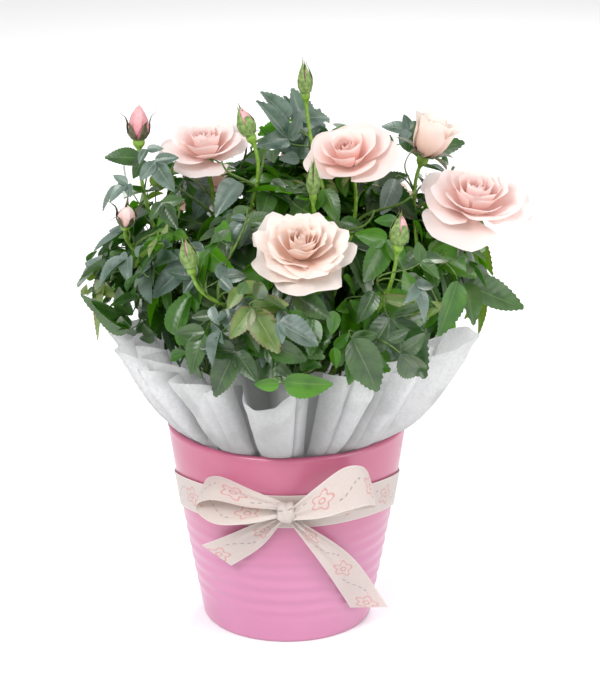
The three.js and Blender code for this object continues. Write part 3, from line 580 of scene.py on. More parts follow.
# %% Ribbon finish
RIBBON_WIDTH = 24
RIBBON_SHEET = 0.9
ribbon_graph = Graph("cream_woven_ribbon")
along, across = ribbon_graph.uv()
threads = (across * 260).sine() * 0.5 + (along * 230).sine() * 0.5
weave = ribbon_graph.between(ribbon_graph.noise(1500, 3), 0.3, 0.7)
cream = ribbon_graph.mix(weave, (0.53, 0.465, 0.435), (0.60, 0.54, 0.505))
selvedge = ribbon_graph.between(abs(across - 0.5), 0.465, 0.485)
cream = ribbon_graph.mix(selvedge * 0.6, cream, (0.70, 0.66, 0.64))

# One little five-petalled flower in each stretch of ribbon, drawn as an outline.
FLOWER_PITCH = 1.55
cell = (along / FLOWER_PITCH).fraction() - 0.5
fx = across - 0.5
fy = cell * FLOWER_PITCH
turn = ribbon_graph.node("Math", {"operation": "ARCTAN2"}, {0: fy, 1: fx})
reach = (fx * fx + fy * fy) ** 0.5
lobes = 0.235 + 0.055 * (turn * 5).sine()
line = 1 - ribbon_graph.between(abs(reach - lobes), 0.012, 0.034)
centre = 1 - ribbon_graph.between(abs(reach - 0.075), 0.01, 0.028)
cream = ribbon_graph.mix((line + centre) * 0.75, cream, (0.55, 0.14, 0.15))

# A grey running stitch between the flowers.
swing = (along * (2 * math.pi / FLOWER_PITCH)).sine() * 0.2 + 0.5
thread = 1 - ribbon_graph.between(abs(across - swing), 0.012, 0.03)
dash = ribbon_graph.between(abs((along * 6.5).fraction() - 0.5), 0.2, 0.24)
apart = ribbon_graph.between(abs(cell), 0.22, 0.25)
cream = ribbon_graph.mix(thread * dash * apart * 0.75, cream, (0.17, 0.14, 0.15))
ribbon_cream = ribbon_graph.finish(
    {
        "Base Color": cream,
        "Roughness": 0.52,
        "Sheen Weight": 0.25,
        "Normal": ribbon_graph.bump(threads + weave, 0.12, 0.0003),
    },
    through=(0.82, 0.72, 0.62),
    share=0.18,
)


def ribbon_strip(name, length, columns, rows, shape, nodes):
    """A strip of ribbon: shape gives the point at u along it and v across it, both 0 to 1."""
    bm = grid(columns, rows)
    layer = bm.loops.layers.uv[0]
    for face in bm.faces:
        for loop in face.loops:
            loop[layer].uv.x *= length / RIBBON_WIDTH
    for vert in bm.verts:
        vert.co = Vector(shape((vert.co.x + 1) / 2, (vert.co.y + 1) / 2))
    return whole(name, bm, [ribbon_cream], nodes)


# %% Band round the pot
BAND_HEIGHT = 89
BAND_LIFT = 13
KNOT_HEIGHT = 105


def band_shape(u, v):
    angle = 2 * math.pi * u
    front = max(0.0, -math.sin(angle))
    z = BAND_HEIGHT + BAND_LIFT * (1 - (1 - front) ** 2) + (v - 0.5) * RIBBON_WIDTH
    crease = 0.25 * math.sin(9 * angle) * math.sin(math.pi * v)
    radius = pot_radius(z) + 2.2 * GAP + 0.5 + crease
    return radius * math.cos(angle), radius * math.sin(angle), z


BAND_LENGTH = 2 * math.pi * 74.5
band = ribbon_strip("ribbon_band_cloth", BAND_LENGTH, 180, 8, band_shape, ["ribbon_band"])


# %% Shapes for loops and tails


def spline(points):
    """A smooth path through points: Catmull-Rom, with the ends carried on."""
    rows = [np.array(p, float) for p in points]
    rows = [2 * rows[0] - rows[1], *rows, 2 * rows[-1] - rows[-2]]

    def at(t):
        x = min(max(t, 0), 1) * (len(rows) - 3)
        i = min(int(x), len(rows) - 4)
        a, b, c, d = rows[i : i + 4]
        s = x - i
        square, cube = 2 * a - 5 * b + 4 * c - d, 3 * b - a - 3 * c + d
        return 0.5 * (2 * b + (c - a) * s + square * s * s + cube * s**3)

    return at


def between_edges(first_edge, second_edge, pleats):
    """A strip between the paths of its two edges, raised or sunk by pleats(u, v)."""
    first, second = spline(first_edge), spline(second_edge)

    def shape(u, v):
        a, b = first(u), second(u)
        tangent = unit(first(min(1, u + 0.01)) - first(max(0, u - 0.01)))
        return lerp(a, b, v) + unit(np.cross(tangent, b - a)) * pleats(u, v)

    return shape


def loop_pleats(u, v):
    """A loop is pleated where it goes into the knot, and crowned a little between."""
    gather = (1 - math.sin(math.pi * u)) ** 1.5
    crown = 0.8 * math.sin(math.pi * v) * (1 - gather)
    return 1.2 * gather * math.cos(4 * math.pi * v + 0.6) + crown


def tail_pleats(wave):
    """A tail is pleated under the knot and waves more and more towards its end."""
    return lambda u, v: (
        2.3 * (1 - u) ** 1.6 * math.cos(4 * math.pi * v) + wave * math.sin(5 * u + 1.5 * v) * u
    )


# %% Loops, tails and knot of the bow
KNOT_RADIUS = 7.5
KNOT_DEPTH = 6
near_knot = -pot_radius(KNOT_HEIGHT) - 4 * GAP - RIBBON_SHEET - KNOT_DEPTH
# The left loop lies on its side and opens to the front. The right one stands up and faces front.
left_loop = (
    [(-4, -86, 103), (-24, -92, 101), (-44, -89, 99), (-56, -82, 103),
     (-57, -79, 109), (-46, -85, 114), (-25, -90, 111), (-4, -86, 107)],
    [(-4, -81, 107), (-22, -76, 109), (-40, -68, 109), (-51, -60, 112),
     (-52, -58, 118), (-42, -65, 122), (-23, -75, 117), (-4, -81, 111)],
)
right_loop = (
    [(4, -87, 101), (22, -95, 106), (40, -94, 111), (53, -86, 111),
     (57, -77, 106), (50, -70, 101), (28, -77, 99), (4, -82, 101)],
    [(4, -85, 109), (20, -93, 127), (36, -90, 138), (48, -82, 136),
     (53, -74, 126), (48, -68, 118), (28, -74, 112), (4, -81, 109)],
)
left_tail = (
    [(-1.6, -82.5, 98.6), (-16, -74, 77), (-36, -63, 59)],
    [(-5, -82.5, 101.8), (-30, -73, 88), (-56, -56, 70)],
)
right_tail = (
    [(1.6, -82.5, 98.6), (25, -70, 59), (43, -50, 21)],
    [(5, -82.5, 101.8), (42, -64, 66), (68, -38, 17)],
)
for part, length, columns, rows, edges, pleats in (
    ("loop_left", 118, 90, 14, left_loop, loop_pleats),
    ("loop_right", 118, 90, 14, right_loop, loop_pleats),
    ("tail_left", 58, 40, 16, left_tail, tail_pleats(1.0)),
    ("tail_right", 98, 50, 16, right_tail, tail_pleats(1.6)),
):
    shape = between_edges(*edges, pleats)
    ribbon_strip("ribbon_" + part, length, columns, rows, shape, ["bow_" + part])

bm = bmesh.new()
bm.loops.layers.uv.new("UVMap")
bmesh.ops.create_uvsphere(bm, u_segments=48, v_segments=24, radius=1, calc_uvs=True)
for vert in bm.verts:
    x, y, z = vert.co
    turn = math.atan2(z, x)
    crease = 1 + 0.09 * math.cos(5 * turn + 1.2) * (1 - abs(y)) + 0.05 * math.cos(9 * x + 3 * z)
    pinch = 1 - 0.1 * math.cos(2 * turn)
    place = Vector((x * KNOT_RADIUS * pinch, y * KNOT_DEPTH, z * KNOT_RADIUS / pinch)) * crease
    vert.co = place + Vector((0, near_knot, KNOT_HEIGHT))
knot = whole("ribbon_knot", bm, [ribbon_cream], ["bow_knot"])

# %% [markdown]
# ## How the rose grows
#
# The CAD source grows the plant by a rule, and the same rule is written again here, so that
# leaves and flowers come up where the solids hold them. Each cane ends in a mass of foliage with
# its own stems and its own share of the crown. Leaves are tried at even points over shells of the
# crown and kept where they fit.

# %% Sizes of the plant
CANE_FOOT_RADIUS = 2.3
CANE_TIP_RADIUS = 1.9
CANE_TIP_HEIGHT = 182
CANE_TIP_SPREAD = 0.42
ROOTSTOCK_RADIUS = 12
ROOTSTOCK_HEIGHT = 25
STEEP_REACH = 20
SIDE_SHOOT_RADIUS = 1.5
FLOWER_STALK_RADIUS = 1.2
FORKS = [0.3, 0.5]
SITE_OUT = 14
HIP_HEIGHT = 9
HEAD_HEIGHTS = {"bloom": 11, "half_open": 12, "pink_bud": 9, "bud": 8}
CROWN_CENTRE = 245
CROWN_RADIUS_X = 149
CROWN_RADIUS_Y = 138
CROWN_SHIFT_X = 7
CROWN_RISE = 110
CROWN_SQUARENESS = 2.6

# name of the cane, then its flowers: name, middle of the head, way it faces, kind, size across
SHOOTS = [
    ("front", [("front", (9, -85, 283), (0.05, -0.5, 0.86), "bloom", 68),
               ("front_left", (-60, -90, 279), (-0.2, -0.1, 0.97), "bud", 11)]),
    ("front_right", [("front_right", (70, -80, 291), (0.1, 0, 1), "bud", 12)]),
    ("right", [("right", (121, -15, 294), (0.08, -0.38, 0.92), "bloom", 68),
               ("upper_right", (94, 20, 324), (0.35, -0.1, 0.93), "half_open", 26)]),
    ("back_right", [("back_right", (72, 90, 264), (0.45, 0.55, 0.74), "bloom", 64)]),
    ("back_left", [("back_left", (-60, 96, 272), (-0.4, 0.6, 0.72), "bloom", 62),
                   ("back", (0, 104, 288), (0, 0.35, 0.93), "pink_bud", 14)]),
    ("left", [("left", (-95, 0, 339), (0, 0, 1), "pink_bud", 14),
              ("low_left", (-101, -40, 291), (0.1, -0.5, 0.8), "pink_bud", 12)]),
    ("upper_left", [("upper_left", (-53, 15, 323), (-0.1, -0.3, 0.95), "bloom", 58),
                    ("upper", (-26, -15, 344), (-0.35, 0, 0.94), "bud", 12)]),
    ("top", [("top", (39, -20, 325), (-0.2, -0.45, 0.87), "bloom", 64),
             ("topmost", (12, 25, 363), (-0.05, 0, 1), "bud", 10),
             ("middle", (17, -42, 313), (0, -0.1, 1), "bud", 9)]),
]


# %% Stems


def bend(foot, foot_way, tip, tip_way, pull=0.36):
    """A Bezier curve from one point and direction to another."""
    span = np.linalg.norm(tip - foot) * pull
    return np.array([foot, foot + foot_way * span, tip - tip_way * span, tip])


def on(curve, t):
    t = np.asarray(t, float)[..., None]
    a, b, c, d = curve
    s = 1 - t
    return s**3 * a + 3 * s * s * t * b + 3 * s * t * t * c + t**3 * d


def heading(curve, t):
    t = np.asarray(t, float)[..., None]
    a, b, c, d = curve
    s = 1 - t
    return unit(s * s * (b - a) + 2 * s * t * (c - b) + t * t * (d - c))


def flower_plan(name, head, faces, kind, across):
    axis = unit(np.array(faces, float))
    seat = np.array(head, float) - HEAD_HEIGHTS[kind] * axis
    neck = seat + (1 - HIP_HEIGHT) * axis
    return SimpleNamespace(name=name, axis=axis, seat=seat, neck=neck, kind=kind, across=across)


plans = []
for name, flower_rows in SHOOTS:
    x, y, _ = flower_rows[0][1]
    reach = math.hypot(x, y)
    p = SimpleNamespace(name=name, flowers=[flower_plan(*row) for row in flower_rows])
    p.outward = np.array([x / reach, y / reach, 0])
    p.tip = np.array([x * CANE_TIP_SPREAD, y * CANE_TIP_SPREAD, CANE_TIP_HEIGHT])
    p.rise = unit(UP + p.outward * min(0.75, reach / 160))
    plans.append(p)

def turn_of(p):
    """Which way a cane leans, seen from above."""
    return math.atan2(p.tip[1], p.tip[0])


ring = sorted((p for p in plans if math.hypot(*p.tip[:2]) >= STEEP_REACH), key=turn_of)
for p in plans:
    if p in ring:
        angle = turn_of(ring[0]) + 2 * math.pi * ring.index(p) / len(ring)
        spread, lean, drop = 5, 1, 11
    else:
        angle = turn_of(p)
        spread, lean, drop = 3.4, 0.25, 6
    round_way = np.array([math.cos(angle), math.sin(angle), 0])
    p.foot = round_way * spread + UP * (COMPOST_TOP + GAP + ROOTSTOCK_HEIGHT - drop)
    p.foot_way = unit(round_way * lean + UP)
    p.cane = bend(p.foot, p.foot_way, p.tip, p.rise)
    main, *others = p.flowers
    p.stems = [bend(p.tip + p.rise * GAP, p.rise, main.neck, main.axis)]
    for fork, flower in zip(FORKS, others):
        start, way = on(p.stems[0], fork), heading(p.stems[0], fork)
        p.stems.append(bend(start, way, flower.neck, flower.axis, 0.3))
    p.site = sum(on(stem, 0.5) for stem in p.stems) / len(p.stems) + SITE_OUT * p.outward
    p.leaves, p.twigs, p.taken = [], [], np.zeros((0, 3))

flowers = [flower for p in plans for flower in p.flowers]
print("canes:", len(plans), "flowers and buds:", len(flowers))

# %% [markdown]
# ## Space for each mass
#
# A leaf is kept only where all its sample points lie inside the crown's barrel-shaped envelope,
# on its own mass's side of every halfway plane, and clear of the flowers, the stems, the tissue
# and the leaves before it. Each test works on a whole array of points at once, which is what
# makes this quick.

# %% Tests on arrays of points
CELL_MARGIN = 0.6
LEAF_CLEARANCE = 4.5
LIMB_CLEARANCE = 3.4
TISSUE_CLEARANCE = 5
sites = np.array([p.site for p in plans])
for p in plans:
    others = np.array([other.site for other in plans if other is not p])
    p.plane_ways = unit(others - p.site)
    p.plane_places = ((others + p.site) / 2 * p.plane_ways).sum(1)

seats = np.array([flower.seat for flower in flowers])
axes = np.array([flower.axis for flower in flowers])
is_open = np.array([flower.kind == "bloom" for flower in flowers])
space_below = np.where(is_open, -6, -10)
space_above = np.where(is_open, 50, 30)
space_beside = np.array([flower.across / 2 for flower in flowers]) + np.where(is_open, 3, 5)

segments, owners = [], []
for index, p in enumerate(plans):
    for curve, steps, owner in [(p.cane, 8, -1)] + [(stem, 10, index) for stem in p.stems]:
        line = on(curve, np.linspace(0, 1, steps + 1))
        segments += list(zip(line, line[1:]))
        owners += [owner] * steps
segments, owners = np.array(segments), np.array(owners)


def crown_share(points):
    """Under 1 inside the crown's barrel-shaped envelope."""
    x, y, z = (points[..., i] for i in range(3))
    flat = np.hypot((x - CROWN_SHIFT_X) / CROWN_RADIUS_X, y / CROWN_RADIUS_Y)
    tall = np.abs(z - CROWN_CENTRE) / CROWN_RISE
    return (flat**CROWN_SQUARENESS + tall**CROWN_SQUARENESS) ** (1 / CROWN_SQUARENESS)


def nearest_plan(point):
    return plans[int(((sites - point) ** 2).sum(1).argmin())]


def in_own_space(points, own):
    return bool(np.all(points @ own.plane_ways.T - own.plane_places < -CELL_MARGIN))


def from_axes(points, seats, axes):
    """How high above each seat points are along its axis, and how far from that axis."""
    away = points[:, None] - seats
    height = (away * axes).sum(2)
    return height, np.sqrt(np.maximum(0, (away**2).sum(2) - height**2))


def near_flower(points):
    height, reach = from_axes(points, seats, axes)
    return bool(((height > space_below) & (height < space_above) & (reach < space_beside)).any())


def near_limb(points, own, clearance):
    keep = owners != (plans.index(own) if own else -2)
    start, way = segments[keep, 0], segments[keep, 1] - segments[keep, 0]
    away = points[:, None] - start
    share = np.clip((away * way).sum(2) / (way**2).sum(1), 0, 1)
    return bool((((away - share[..., None] * way) ** 2).sum(2) < clearance**2).any())


ABOVE, TOUCHING, OUTSIDE, INSIDE = range(4)


def beside_collar(points):
    angle = np.arctan2(points[:, 1], points[:, 0])
    off = np.hypot(points[:, 0], points[:, 1]) - collar_radius(angle, points[:, 2])
    place = np.where(off > 0, OUTSIDE, INSIDE)
    place[np.abs(off) < TISSUE_CLEARANCE] = TOUCHING
    place[points[:, 2] > collar_top(angle) + 3] = ABOVE
    return place


def blade_crosses_collar(points):
    places = set(beside_collar(points).tolist())
    return TOUCHING in places or {OUTSIDE, INSIDE} <= places


def stalk_crosses_collar(points):
    places = beside_collar(points)
    if (places == TOUCHING).any():
        return True
    before, after = places[:-1], places[1:]
    return bool(((after != ABOVE) & (before != ABOVE) & (before != after)).any())


def is_taken(points, own, clearance):
    if not len(own.taken):
        return False
    gaps = (points**2).sum(1)[:, None] + (own.taken**2).sum(1) - 2 * points @ own.taken.T
    return bool((gaps < clearance**2).any())


CLOSE = 1.4  # leaves laid this close may lean over into a neighbour's space


def limb_clearance(clearance):
    return min(LIMB_CLEARANCE, clearance + 0.7)


def fits(points, own, clearance):
    if (crown_share(points) > 1).any() or near_flower(points) or blade_crosses_collar(points):
        return False
    if clearance > CLOSE and not in_own_space(points, own):
        return False
    return not is_taken(points, own, clearance) and not near_limb(
        points, None, limb_clearance(clearance)
    )


# %% [markdown]
# ## The crown's outline
#
# The plant isn't a ball: buds stand clear of the leaves on bare stalks, and its outline goes in
# and out. One outline, drawn as the crown is seen from a standing person's height in front, trims
# it. It is compared in that view, so that it also lowers the far side, as on a plant grown
# towards the light.

# %% Outline and clear space round the flowers
OUTLINE = [
    (-141, 33), (-146, 53), (-138, 72), (-122, 78), (-117, 98), (-126, 108), (-127, 128),
    (-110, 133), (-90, 125), (-79, 121), (-36, 131), (-26, 152), (-10, 162), (17, 154),
    (60, 140), (76, 134), (86, 123), (113, 125), (118, 112), (121, 73), (126, 58),
    (124, 40), (136, 30), (113, 22), (93, 11), (80, -8), (53, -25), (20, -23),
    (-10, -25), (-40, -25), (-63, -27), (-90, -1), (-113, 12),
]
BUD_BELOW = 34  # bare stalk under a bud
BUD_ABOVE = 40
BUD_BESIDE = 7
STALK_BESIDE = 3.5


def seen_from_front(points):
    """Across, up and away, in millimetres at the middle of the plant."""
    x, y, z = (points - np.array(CAMERA_TARGET) / MM).T
    sin, cos = math.sin(CAMERA_ELEVATION), math.cos(CAMERA_ELEVATION)
    away = CAMERA_DISTANCE / MM + y * cos - z * sin
    scale = CAMERA_DISTANCE / MM / away
    return x * scale, (y * sin + z * cos) * scale, away


edge_x, edge_y = np.array(OUTLINE, float).T[:, None]
next_x, next_y = np.roll(edge_x, -1), np.roll(edge_y, -1)
edge_lean = (next_x - edge_x) / np.where(next_y == edge_y, 1e-9, next_y - edge_y)


def inside_outline(points):
    """Which points lie inside the outline: those with an odd number of its edges to their left."""
    across, up, _ = (row[:, None] for row in seen_from_front(points))
    crosses = (edge_y > up) != (next_y > up)
    return (crosses & (across < edge_x + (up - edge_y) * edge_lean)).sum(1) % 2 == 1


def off_lines(across, up, x, y, dx, dy, first, last):
    """How far points are from lines in the front view, or from a part of each line."""
    share = np.clip(((across - x) * dx + (up - y) * dy) / (dx * dx + dy * dy), first, last)
    return np.hypot(across - x - share * dx, up - y - share * dy)


HEAD_TALL = 20
FAR_SIDE = 60  # flowers further back than this may be covered
BLOOM_FLATNESS = 0.66
bloom_views, bud_views = [], []
for flower in flowers:
    if flower.seat[1] > FAR_SIDE:
        continue
    along_axis = np.array([-BUD_BELOW, 0, HEAD_TALL])[:, None]
    x, y, far = seen_from_front(flower.seat + along_axis * flower.axis)
    if flower.kind == "bloom":
        bloom_views.append((x[1], lerp(y[1], y[2], 0.4), flower.across / 2, far[1] + 5))
        continue
    for i, beside in ((0, STALK_BESIDE), (1, flower.across / 2 + 2)):
        bud_views.append((x[i], y[i], x[i + 1] - x[i], y[i + 1] - y[i], beside, far[1] + 5))
bloom_views, bud_views = np.array(bloom_views).T, np.array(bud_views).T


def hides_a_flower(points):
    """True where points stand in front of a flower or of the bare stalk under a bud."""
    across, up, away = (row[:, None] for row in seen_from_front(points))
    x, y, wide, far = bloom_views
    inside = ((across - x) / wide) ** 2 + ((up - y) / wide / BLOOM_FLATNESS) ** 2 < 1
    if (inside & (away < far)).any():
        return True
    x, y, dx, dy, beside, far = bud_views
    gap = off_lines(across, up, x, y, dx, dy, 0, 1)
    return bool(((gap < beside) & (away < far)).any())


bud_seats, bud_axes = seats[~is_open], axes[~is_open]
bud_room = np.array([flower.across / 2 + BUD_BESIDE for flower in flowers])[~is_open]


def beside_a_bud(points):
    """True where points crowd a bud or its bare stalk, from any side."""
    height, reach = from_axes(points, bud_seats, bud_axes)
    return bool(((height > -BUD_BELOW) & (height < BUD_ABOVE) & (reach < bud_room)).any())


def in_the_open_crown(points):
    if not inside_outline(points).all() or hides_a_flower(points) or beside_a_bud(points):
        return False
    return OUTSIDE not in beside_collar(points)


# %% [markdown]
# ## Leaves that fit
#
# A rose leaf is compound: a tip leaflet and one or two pairs below it on one stalk. For the tests
# it is a plate with ten outline points, folded along its midrib and drooping towards its tip. The
# stalk rises from the stem below it. Where a side leaflet doesn't fit it is grown small or left
# off.

# %% Leaf plate and stalk
LEAFLET_LENGTH = 38
LEAF_FOLD = 0.12
LEAF_DROOP = 0.09
LEAF_HUB = 0.42
LEAF_OUTLINE = [(0, 0), (0.118, 0.4), (0.56, 0.675), (0.5, 0.13), (0.8, 0.31), (1.36, 0)]
TIP_LEAFLET_AT = 0.36
SIDE_SIZES = [1, 0.6, 0.12]
NO_LEAFLET = 0.3  # a side leaflet under this size is left off
STALK_END = 0.32
FACE_SCATTER = 1.1
TURN_SCATTER = 1.9
FINE_SPREAD = 1.5
HANG = (0.6, 0.8)  # outwards and down
FINE_HANG = (0.9, 0.35)
SIZE_SCATTER = (0.82, 1.18)
LEAF_TURNS = [0, 0.7, -0.7, 1.4, -1.4, 2.4, -2.4]
PLACED_NUDGES = [0, 7, -7, 14, -14, 22]
PLACED_SIZES = [1, 0.82, 0.66]
OUT_SHARES = np.array([0.33, 0.67, 1])
ON_SHARES = np.array([0, 0.33, 0.67, 1])


def blade_point(leaf, u, v, over):
    return leaf.root + leaf.way * u + leaf.side * v + leaf.face * over


def leaf_hub(leaf):
    u = LEAF_HUB * leaf.length
    return blade_point(leaf, u, 0, -LEAF_DROOP * u * u / leaf.length)


def outline_points(leaf):
    points = []
    for number in range(10):
        right = number <= 5
        step = number if right else 10 - number
        grown = leaf.sides[0 if right else 1] if 0 < step < 3 else 1
        ahead, beside = LEAF_OUTLINE[step]
        u = lerp(TIP_LEAFLET_AT, ahead, grown) * leaf.length
        v = beside * grown * leaf.length * (1 if right else -1)
        over = LEAF_FOLD * abs(v) - LEAF_DROOP * u * u / leaf.length
        points.append(blade_point(leaf, u, v, over))
    return np.array(points)


def leaf_samples(leaf, first, last, outs=OUT_SHARES, ons=ON_SHARES):
    hub, rim = leaf_hub(leaf), outline_points(leaf)
    numbers = np.arange(first, last)
    start, end = rim[numbers % 10][:, None], rim[(numbers + 1) % 10][:, None]
    edge = start + (end - start) * ons[None, :, None]
    return (hub + (edge[:, None] - hub) * outs[None, :, None, None]).reshape(-1, 3)


def best_foot(target, places, weight, slope):
    """Which foot makes the stalk to a target short and steep."""
    span = target - places
    flat = np.hypot(span[:, 0], span[:, 1])
    cost = np.linalg.norm(span, axis=1) + weight * np.maximum(0, slope * flat - span[:, 2])
    return int(cost.argmin())


def stalk_to(leaf, own, feet, clearance):
    """The leaf's stalk from the best of its feet, or None where it would cross something."""
    places, ways = feet
    best = best_foot(leaf.root, places, 1.5, 0.35)
    foot_way = unit(unit(leaf.root - places[best]) + ways[best])
    behind = -0.15 - LEAF_DROOP * STALK_END**2 * leaf.length
    end = blade_point(leaf, STALK_END * leaf.length, 0, behind)
    curve = bend(places[best], foot_way, end, unit(leaf.way + 0.9 * leaf.face), 0.4)
    samples = on(curve, np.arange(1, 12) / 12)
    if near_flower(samples) or stalk_crosses_collar(samples):
        return None
    if clearance > CLOSE and not in_own_space(samples, own):
        return None
    if is_taken(samples[2:], own, clearance):
        return None
    return None if near_limb(samples, own, limb_clearance(clearance)) else curve


def feet_of(stems, shares):
    places = np.concatenate([on(stem, shares) for stem in stems])
    return places, np.concatenate([heading(stem, shares) for stem in stems])


STEM_SHARES = 0.06 + 0.05 * np.arange(16)
stem_feet = {p.name: feet_of(p.stems, STEM_SHARES) for p in plans}
STALK_SPOTS = np.array([0.3, 0.5, 0.7, 0.9])


def coarse_cloud(leaf):
    """Forty points over the leaf's plate."""
    return leaf_samples(leaf, 0, 10, np.array([0.5, 1]), np.array([0, 0.5]))


def grow_leaf(leaf, own, feet, clearance=LEAF_CLEARANCE, coarse=False):
    """Adds the leaf to its mass, and tells whether it fitted."""
    leaf.side = np.cross(leaf.way, leaf.face)
    leaf.sides = [1, 1]
    if coarse:
        blade = coarse_cloud(leaf)
        if not in_the_open_crown(blade) or hides_a_placed_leaf(blade):
            return False
    if not fits(leaf_samples(leaf, 3, 7), own, clearance):
        return False
    for index, first in ((0, 0), (1, 7)):
        for size in SIDE_SIZES:
            leaf.sides[index] = size
            side = leaf_samples(leaf, first, first + 3)
            if size < NO_LEAFLET or fits(side, own, clearance):
                break
    if sum(leaf.sides) < leaf.needs:
        return False
    leaf.stalk = stalk_to(leaf, own, feet, clearance)
    if leaf.stalk is None:
        return False
    own.leaves.append(leaf)
    cloud = coarse_cloud(leaf) if coarse else leaf_samples(leaf, 0, 10)
    spots = STALK_SPOTS if coarse else np.arange(3, 13) / 12
    own.taken = np.concatenate([own.taken, on(leaf.stalk, spots), cloud])
    return True


# %% Leaves that make the outline
# Each tip leaflet runs from one point to another, and a letter gives its look.
PLACED_LEAVES = [
    ((-94, -5, 316), (-115, -12, 321), "d"), ((-95, -12, 307), (-113, -22, 298), "g"),
    ((-103, -25, 272), (-123, -35, 262), "g"), ((-109, -20, 251), (-135, -25, 248), "d"),
    ((-101, -30, 214), (-131, -30, 222), "d"), ((-95, -45, 235), (-113, -55, 237), "d"),
    ((-1, 30, 332), (-16, 32, 353), "g"), ((9, 42, 312), (2, 45, 347), "g"),
    ((9, 40, 333), (28, 38, 335), "g"), ((-16, 25, 331), (-43, 20, 336), "g"),
    ((7, 25, 301), (-19, 20, 326), "b"), ((83, 28, 321), (64, 25, 328), "g"),
    ((88, 10, 295), (119, 15, 313), "d"), ((116, -20, 233), (154, -20, 218), "d"),
    ((114, -15, 236), (138, -5, 234), "d"), ((114, -10, 260), (130, -10, 251), "d"),
    ((105, -45, 252), (97, -60, 220), "b"), ((66, -85, 228), (89, -80, 219), "g"),
    ((69, -105, 225), (86, -95, 203), "d"), ((36, -112, 239), (58, -120, 199), "d"),
    ((-28, -110, 227), (-46, -120, 197), "d"), ((0, -112, 210), (28, -118, 207), "b"),
    ((3, -115, 210), (-19, -120, 210), "b"), ((7, -105, 252), (27, -118, 242), "d"),
    ((-50, -100, 230), (-60, -112, 210), "d"), ((-39, -105, 267), (-23, -100, 270), "g"),
    ((-25, -75, 289), (-37, -85, 274), "g"), ((-79, -45, 300), (-68, -55, 283), "d"),
    ((31, -55, 309), (48, -65, 281), "g"), ((-58, -90, 260), (-74, -88, 262), "g"),
]


# These are laid closer to their neighbours than the solids could be.
CLOSE_LEAVES = [
    ((-2, 22, 324), (-17, 24, 351), "g"), ((11, 44, 322), (1, 46, 349), "g"),
    ((64, -98, 238), (86, -104, 203), "d"), ((-62, -84, 262), (-84, -90, 244), "g"),
    ((70, 8, 300), (62, -6, 281), "g"), ((84, 34, 306), (120, 42, 312), "d"),
    ((-83, -20, 318), (-72, -30, 303), "g"), ((28, -62, 303), (46, -78, 272), "g"),
    ((112, -30, 262), (127, -34, 240), "d"), ((-100, -48, 262), (-120, -52, 246), "g"),
    ((-104, -36, 222), (-135, -36, 228), "d"), ((60, 12, 290), (84, 0, 274), "d"),
    ((-30, -4, 300), (-44, -24, 288), "g"), ((24, 10, 290), (2, -6, 274), "b"),
    ((62, -44, 273), (47, -58, 251), "b"), ((40, -46, 270), (54, -66, 246), "d"),
    ((-68, 46, 290), (-54, 42, 267), "d"), ((-48, 52, 286), (-62, 48, 266), "g"),
]


def view_rows(rows):
    """The leaflets of these rows in the front view, as starts, spans, distances and half widths."""
    ends = [np.array([row[k] for row in rows], float) for k in (0, 1)]
    (x0, y0, far0), (x1, y1, far1) = (seen_from_front(end) for end in ends)
    beside = 0.2 * np.linalg.norm(ends[1] - ends[0], axis=1)
    return x0, y0, x1 - x0, y1 - y0, (far0 + far1) / 2 + 2, beside


placed_views = view_rows(PLACED_LEAVES + CLOSE_LEAVES)


def hides_a_placed_leaf(points):
    """True where points stand in front of a leaflet that makes the plant's face."""
    across, up, away = (row[:, None] for row in seen_from_front(points))
    x, y, dx, dy, far, beside = placed_views
    gap = off_lines(across, up, x, y, dx, dy, 0.1, 0.9)
    return bool(((gap < beside) & (away < far)).any())


CROWN_HEART = np.array([CROWN_SHIFT_X, 0, CROWN_CENTRE], float)
CROWN_RADII = np.array([CROWN_RADIUS_X, CROWN_RADIUS_Y, CROWN_RISE], float)


def outward_at(point):
    return unit((point - CROWN_HEART) / CROWN_RADII**2)


def placed_leaf(start, end, look, clearance=LEAF_CLEARANCE):
    """Grows the leaf of a row, smaller or nearer if need be, and tells whether it fitted."""
    base, span = np.array(start, float), np.array(end, float) - np.array(start, float)
    way, full = unit(span), np.linalg.norm(span)
    out = outward_at(base) + 0.3 * UP
    face = unit(out - out.dot(way) * way)
    for size in PLACED_SIZES:
        length = full * size
        root = base + way * (full - length - TIP_LEAFLET_AT * length) + face * LEAF_DROOP * length
        for nudge in PLACED_NUDGES:
            at = root + np.array([0, nudge, 0])
            own = nearest_plan(at + way * 0.8 * length)
            leaf = SimpleNamespace(face=face, way=way, length=length, root=at, needs=0, look=look)
            if grow_leaf(leaf, own, stem_feet[own.name], clearance):
                return True
    return False


refused = [row for row in PLACED_LEAVES if not placed_leaf(*row)]
print("placed leaves that are tried again later:", len(refused))

# %% Leaves over shells of the crown
# A shell's tries, share of the crown's reach, size of leaves, spacing and first angle.
SHELLS = [(800, 0.87, 1, 22, 0.4), (600, 0.88, 0.66, 19, 1.3), (300, 0.66, 1, 32, 2.1)]
LOWEST = -0.85
GOLDEN_ANGLE = math.pi * (3 - math.sqrt(5))


def shell_points(count, scale, start):
    """Even points over a shell of the crown, by the golden angle from its top down."""
    index = np.arange(count)
    tall = 1 - (index + 0.5) / count * (1 - LOWEST)
    flat = np.sqrt(1 - tall * tall)
    angle = start + index * GOLDEN_ANGLE
    spokes = np.stack([flat * np.cos(angle), flat * np.sin(angle), tall], 1) * CROWN_RADII
    return spokes * (scale / crown_share(spokes + CROWN_HEART))[:, None] + CROWN_HEART


def turned(vector, axis, angle):
    """A vector turned about an axis."""
    cos, sin = math.cos(angle), math.sin(angle)
    return vector * cos + np.cross(axis, vector) * sin + axis * axis.dot(vector) * (1 - cos)


